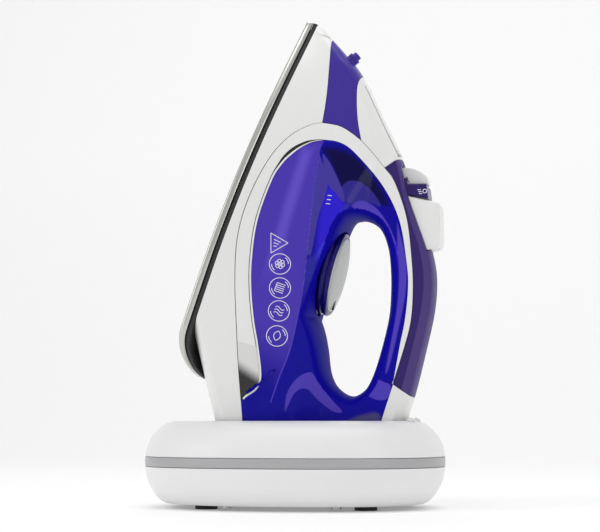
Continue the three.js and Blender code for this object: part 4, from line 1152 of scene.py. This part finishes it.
# A pale streak along the ring side and a pale line along the crease are painted highlights.
along_layer(tank, "pale_streak_highlight", lambda u, v: np.minimum(
    1 - np.abs(v - 35.5 - 0.07 * (150 - u)) / 6, np.minimum((u - 65) / 50, (168 - u) / 12)))
laid_over(tank_clear, "pale_streak_highlight", 0.9, PALE_STREAK_HIGHLIGHT, middle=0.5, strength=0.7)
along_layer(tank, "crease_highlight", lambda u, v: np.minimum(
    0.7 - np.abs(crease_gap(u, v)), np.minimum(163 - u, u - 4)))
laid_over(tank_clear, "crease_highlight", 0.5, PALE_STREAK_HIGHLIGHT, middle=0.35, strength=0.6)
made(tank, tank_clear, "tank_blue", "iron", "water_tank")

# The rolled edge of the hand opening is left satin from the mould, so it doesn't shine.
tank_satin = surface("tank_satin", TANK_DEEP, (0.45, 0.55), depth=0.004, shade=0.0,
                     Specular_IOR_Level=0.03)
tank.data.materials.append(tank_satin)
spots = np.stack(side_view([face.center[:] for face in tank.data.polygons]), 1)
satin = outline_depth(spots, HAND_HOLE) > -HOLE_ROUND
tank.data.polygons.foreach_set("material_index", satin.astype(np.int32))

# ------------------------------------------------------------------ printed marks
# Fine white prints on both sides of the tank and on the controls: a hot-surface triangle and
# four round marks for steam, fabric, water and heat. They are plain lines, with no lettering.

print_white = surface("print_white", (0.72, 0.70, 0.86), (0.4, 0.5), depth=0.01)
PRINT_LINE = 0.48


def print_strokes(name, strokes, half_width, line_wide=PRINT_LINE):
    """Thin raised lines on the skin, from strokes given as rows of (u, v) places."""
    points, faces = [], []
    for side in (-1, 1):
        for path in strokes:
            path = np.asarray(path, float)
            left, right = beside(path, line_wide / 2), beside(path, -line_wide / 2)
            for k in range(len(path)):
                for u, v in (left[k], right[k]):
                    w = side * (float(half_width(u, v)) + 0.14)
                    points.append(np.array(placed(u, v, w)) / 1000)
                if k:
                    a = len(points) - 4
                    faces.append((a, a + 1, a + 3, a + 2))
    marks = new_mesh(name, points, faces, False)
    work = bmesh.new()
    work.from_mesh(marks.data)
    wrong = [f for f in work.faces if f.normal.y * f.calc_center_median().y < 0]
    bmesh.ops.reverse_faces(work, faces=wrong)
    work.to_mesh(marks.data)
    work.free()
    return walled(marks, 0.08, ease=0)


def arc(u, v, radius, start=0.0, end=360.0, steps=40):
    angles = np.radians(np.linspace(start, end, steps))
    return np.stack([u + radius * np.cos(angles), v + radius * np.sin(angles)], 1)


def stroke(*places):
    return evenly(np.array(places, float), 12)


strokes = [stroke((104.5, 32.8), (92.8, 37)), stroke((92.8, 37), (102.1, 44.4)),
           stroke((102.1, 44.4), (104.5, 32.8))]
strokes += [stroke((101.4 - k * 2.0, 35.9 + k * 0.5), (100.9 - k * 1.5, 40.2 - k * 0.7))
            for k in range(3)]
MARK_PLACES = [(88.2, 44.2), (74.2, 49.0), (60.6, 52.9), (45.6, 56.7)]
MARK_RADIUS = 6.3
for u, v in MARK_PLACES:
    strokes.append(arc(u, v, MARK_RADIUS))
    strokes += [arc(u, v, MARK_RADIUS - 1.3, start, start + 50, 12) for start in (20, 200)]
(cloud_u, cloud_v), (cloth_u, cloth_v), (wave_u, wave_v), (drop_u, drop_v) = MARK_PLACES
strokes += [arc(cloud_u + 1.7 * math.cos(a), cloud_v + 1.7 * math.sin(a), 1.2, steps=14)
            for a in np.radians([30, 90, 150, 210, 270, 330])]
for k in range(5):
    thread = cloth_u + 2.6 - k * 1.3
    strokes.append(stroke((thread, cloth_v - 2.6), (thread, cloth_v + 2.6)))
strokes += [stroke((cloth_u + 2.6, cloth_v - 2.6), (cloth_u - 2.6, cloth_v - 2.6))]
strokes += [np.array([(wave_u + 1.8 - 1.8 * row + 0.7 * math.sin(a), wave_v + 0.9 * a - 2.8)
                      for a in np.linspace(0, 6.2, 20)]) for row in range(3)]
strokes += [np.array([(drop_u + 3.2 - 6.0 * t, drop_v + side * 2.0 * math.sin(math.pi * t) ** 0.8)
                      for t in np.linspace(0, 1, 16)]) for side in (-1, 1)]
strokes += [stroke((133.2 + 2.6 * k, 57.2 - 0.4 * k), (133.8 + 2.6 * k, 59.6 - 0.4 * k))
            for k in range(3)]
marks = print_strokes("tank_prints", strokes, body_half)
made(marks, print_white, "white_housing", "iron")

# ------------------------------------------------------------------ temperature dial
# Navy rim with two rounded beads, a domed pale face pressed into it, and a collar in the well
# that it turns in. A black mark on the face points at the setting.

dial_navy = surface("dial_navy", (0.008, 0.004, 0.13), (0.08, 0.14), depth=0.01,
                    Specular_IOR_Level=0.18)
dial_pale = surface("dial_face_satin", (0.56, 0.58, 0.52), (0.3, 0.36), depth=0.0, shade=0.04,
                    Metallic=0.2)
rim_profile = [(0.4, 0), (0.4, 21.9), (-2.4, 22.1), (-2.4, 24.8), (0.2, 24.9), (0.4, 26.3),
               (0.8, 26.8), (1.6, 27.0), (2.4, 26.9), (3.0, 26.4), (3.5, 25.7), (4.0, 26.4),
               (4.6, 26.9), (5.4, 27.0), (6.2, 26.8), (6.8, 26.2), (7.0, 25.6), (7.0, 24.5),
               (6.8, 24.2), (5.0, 24.1), (5.0, 0)]
rim = turned("dial_rim", dial_spot, DIAL_AXIS, rim_profile, 128)
made(rim, dial_navy, "dial_blue", "dial", "temperature_dial")
face_profile = [(5.3, 0), (5.3, 23.8), (7.0, 24.0), (7.5, 23.6), (8.05, 22), (8.6, 19.8),
                (9.1, 16.5), (9.6, 12), (9.95, 7), (10.2, 0)]
face = turned("dial_disc", dial_spot, DIAL_AXIS, face_profile, 128)
made(face, dial_pale, "dial_silver", "dial", "dial_face")
collar_profile = [(-4.6, 0), (-4.6, 27.5), (-4.3, 27.8), (-0.9, 27.8), (-0.6, 27.5),
                  (-0.6, 26.0), (-0.9, 25.6), (-3.0, 25.5), (-3.0, 0)]
collar = turned("dial_seat", dial_spot, DIAL_AXIS, collar_profile, 128)
made(collar, dial_navy, "dial_blue", "iron", "dial_collar")

DIAL_ACROSS = Vector((0, 1, 0))
DIAL_AHEAD = DIAL_AXIS.cross(DIAL_ACROSS).normalized()
if DIAL_AHEAD.z < 0:
    DIAL_AHEAD = -DIAL_AHEAD


def on_dial(along, ahead, across):
    return tuple(dial_spot + DIAL_AXIS * along + DIAL_AHEAD * ahead + DIAL_ACROSS * across)


pointer_rings = [[on_dial(height, ahead, across * size) for ahead, across in
                  ((-22.4, 0), (-19.2, 1.5), (-16.2, 1.1), (-16.2, -1.1), (-19.2, -1.5))]
                 for height, size in ((8.0, 1.0), (9.1, 1.0), (9.3, 0.8))]
pointer = ring_loft("dial_pointer", pointer_rings, capped=True)
faces_outward(pointer)
made(pointer, black_gloss, "black_gloss", "dial")

# ------------------------------------------------------------------ grip
# Violet handle cover with a fine matt grain. A crease runs along each side of it, so that the
# upper facet leans in. Wells are open in its thumb rest for the controls.

grip_matt = surface("grip_matt", (0.028, 0.011, 0.135), (0.38, 0.5), size=2600, depth=0.12,
                    shade=0.1, Specular_IOR_Level=0.25)
GRIP_END = np.array([(40.6, 131.4), (36.8, 144.8)])
THUMB_REST = np.array([155, 104])
REST_AHEAD = np.array([0.783, -0.623])
REST_OUT = np.array([0.623, 0.783])
BUTTON_HALF = 12.0
POD_HALF = 12.5
GRIP_LEAN = 5.6
SLIDER_HALF, SLIDER_REACH = 6.5, 11.8


def on_rest(along, out):
    return THUMB_REST + REST_AHEAD * along + REST_OUT * out


def grip_crease(u):
    """How far below the top edge the grip's crease runs."""
    return np.interp(u, [40, 120, 160, 176], [7.2, 6.4, 4.2, 3.2])


def grip_half(u, v):
    """Half width of the grip: a steep lower facet, a crease, and an upper facet leaning in."""
    depth, crease = top_depth(u, v), grip_crease(u)
    lean = np.where(depth < crease, GRIP_LEAN * (crease - depth) / crease, 0)
    return (body_half(u, v) - lean) * quarter_round(depth / 2.4)


grip_grid = patch(SEAM_GRIP, top_between(176.2, 36.8, 200), POD_LINE, GRIP_END, 150, 40, 1.6)
grip = skin_sheet("grip_shell", grip_grid, grip_half)
for start, end, half in ((-35.3, 2.5, BUTTON_HALF + 0.6), (2.5, 13.5, POD_HALF + 0.3),
                         (13.5, 21, SLIDER_REACH)):
    well = [on_rest(start, -9), on_rest(end, -9), on_rest(end, 40), on_rest(start, 40)]
    grip = opened(grip, well, half)
# The upper facet above the crease is painted a lighter violet than the lower one: painted light, as
# if it caught more light from above.
along_layer(grip, "leaning", lambda u, v: grip_crease(u) - top_depth(u, v))
laid_over(grip_matt, "leaning", 0.8, (0.064, 0.038, 0.19))
made(walled(grip, 0.6, 0.2), grip_matt, "grip_purple", "iron", "grip_cover")

# ------------------------------------------------------------------ thumb controls
# Two white buttons side by side for the spray and the shot of steam, each over its pump; the
# violet pod between them and the slider; and the white slider that sets the steam.

button_outline = [on_rest(2.1, -2.6), (157, 120.8), (155.5, 122.4), (150.5, 124.3),
                  (136.5, 129.3), (131.6, 130.4), (130.4, 129.4), on_rest(-34.6, -2.6)]
for name, body, low, high in (("shot_cap", "shot_key", -BUTTON_HALF, -0.25),
                              ("spray_cap_key", "spray_key", 0.25, BUTTON_HALF)):
    node = "shot_button" if low < 0 else "spray_button"
    cap = eased(plate(name, button_outline, low, high), 1.1, 4, 25)
    made(cap, white_gloss, "white_housing", body, node)
dressed(dark_matt, "shot_pump", "spray_pump")

pod_outline = [on_rest(2.9, -3), on_rest(13.2, -3), on_rest(13.2, 0.3), on_rest(8.8, 0.4),
               on_rest(4.7, 11.4), on_rest(-4.6, 9.4), on_rest(1.2, 0.2)]
pod = eased(plate("steam_pod", pod_outline, -POD_HALF, POD_HALF), 0.8, 3, 25)
pod_violet = surface("pod_violet", (0.024, 0.010, 0.115), (0.2, 0.3), depth=0.02,
                     Specular_IOR_Level=0.25)
made(pod, pod_violet, "purple_cover", "iron", "control_pod")
pod_marks = [stroke(on_rest(0.4 + 1.3 * k, 5.0), on_rest(-0.3 + 1.3 * k, 7.0)) for k in range(3)]
pod_marks.append(arc(*on_rest(0.6, 9.0), 1.2, steps=20))
made(print_strokes("pod_prints", pod_marks, lambda u, v: POD_HALF), print_white,
     "white_housing", "iron")
slider_outline = [on_rest(13.9, -1.6), on_rest(20.6, -1.6), on_rest(20.4, 1.4), on_rest(18.8, 4.8),
                  on_rest(16.8, 7.8), on_rest(14.2, 10.4), on_rest(10.8, 12.5), on_rest(7.4, 12.9),
                  on_rest(5.2, 12.0), on_rest(9.2, 1.0), on_rest(13.9, 0.9)]
slider = eased(plate("steam_knob", slider_outline, -SLIDER_HALF, SLIDER_HALF), 0.6, 3, 40)
made(slider, white_gloss, "white_housing", "steam_control", "steam_slider")

# ------------------------------------------------------------------ heel
# White end of the handle, and the flat heel plate that the iron stands on, open round the block
# with its three contacts.

TANK_REAR = smooth_line([(40.6, 131.4), (17.2, 131.8), (-20, 133)], 40)
TAIL_END = np.array([(-20, 133), (-20, 146)])
tail_grid = patch(TANK_REAR, top_between(36.8, -20), GRIP_END, TAIL_END, 60, 40, 1.6)
tail = trimmed(skin_sheet("handle_end", tail_grid, grip_half), HEEL_FLOOR + 0.4)
made(walled(tail, 2.6), white_gloss, "white_housing", "iron", "heel_cover")

def heel_plate():
    side = []
    for x in np.linspace(-50.4, 73.0, 80):
        widths = []
        for z in (HEEL_FLOOR + 0.2, PLATE_TOP):
            u, v = side_place(x, z)
            widths.append(float(skin_half(u, max(v, float(heel_edge(u)) + 0.2))) - 0.25)
        side.append((x, max(min(widths), 1.0)))
    line = side + [(x, -y) for x, y in reversed(side)]
    outline = base_rays(np.array(line + line[:1]))
    block = np.array([(-1.4, -11.4), (25.4, -11.4), (25.4, 11.4), (-1.4, 11.4), (-1.4, -11.4)])
    block = base_rays(block)
    middle = block + (outline - block) * 0.5
    rings = [[(*p, z) for p in line] for line, z in
             ((block, PLATE_TOP - 0.3), (middle, PLATE_TOP - 0.3), (outline, PLATE_TOP - 0.3),
              (outline, HEEL_FLOOR + 0.3), (middle, HEEL_FLOOR + 0.1),
              (block, HEEL_FLOOR + 0.1), (block, PLATE_TOP - 0.3))]
    plate_piece = ring_loft("heel_floor", rings)
    faces_outward(plate_piece)
    return plate_piece


made(heel_plate(), white_gloss, "white_housing", "iron")
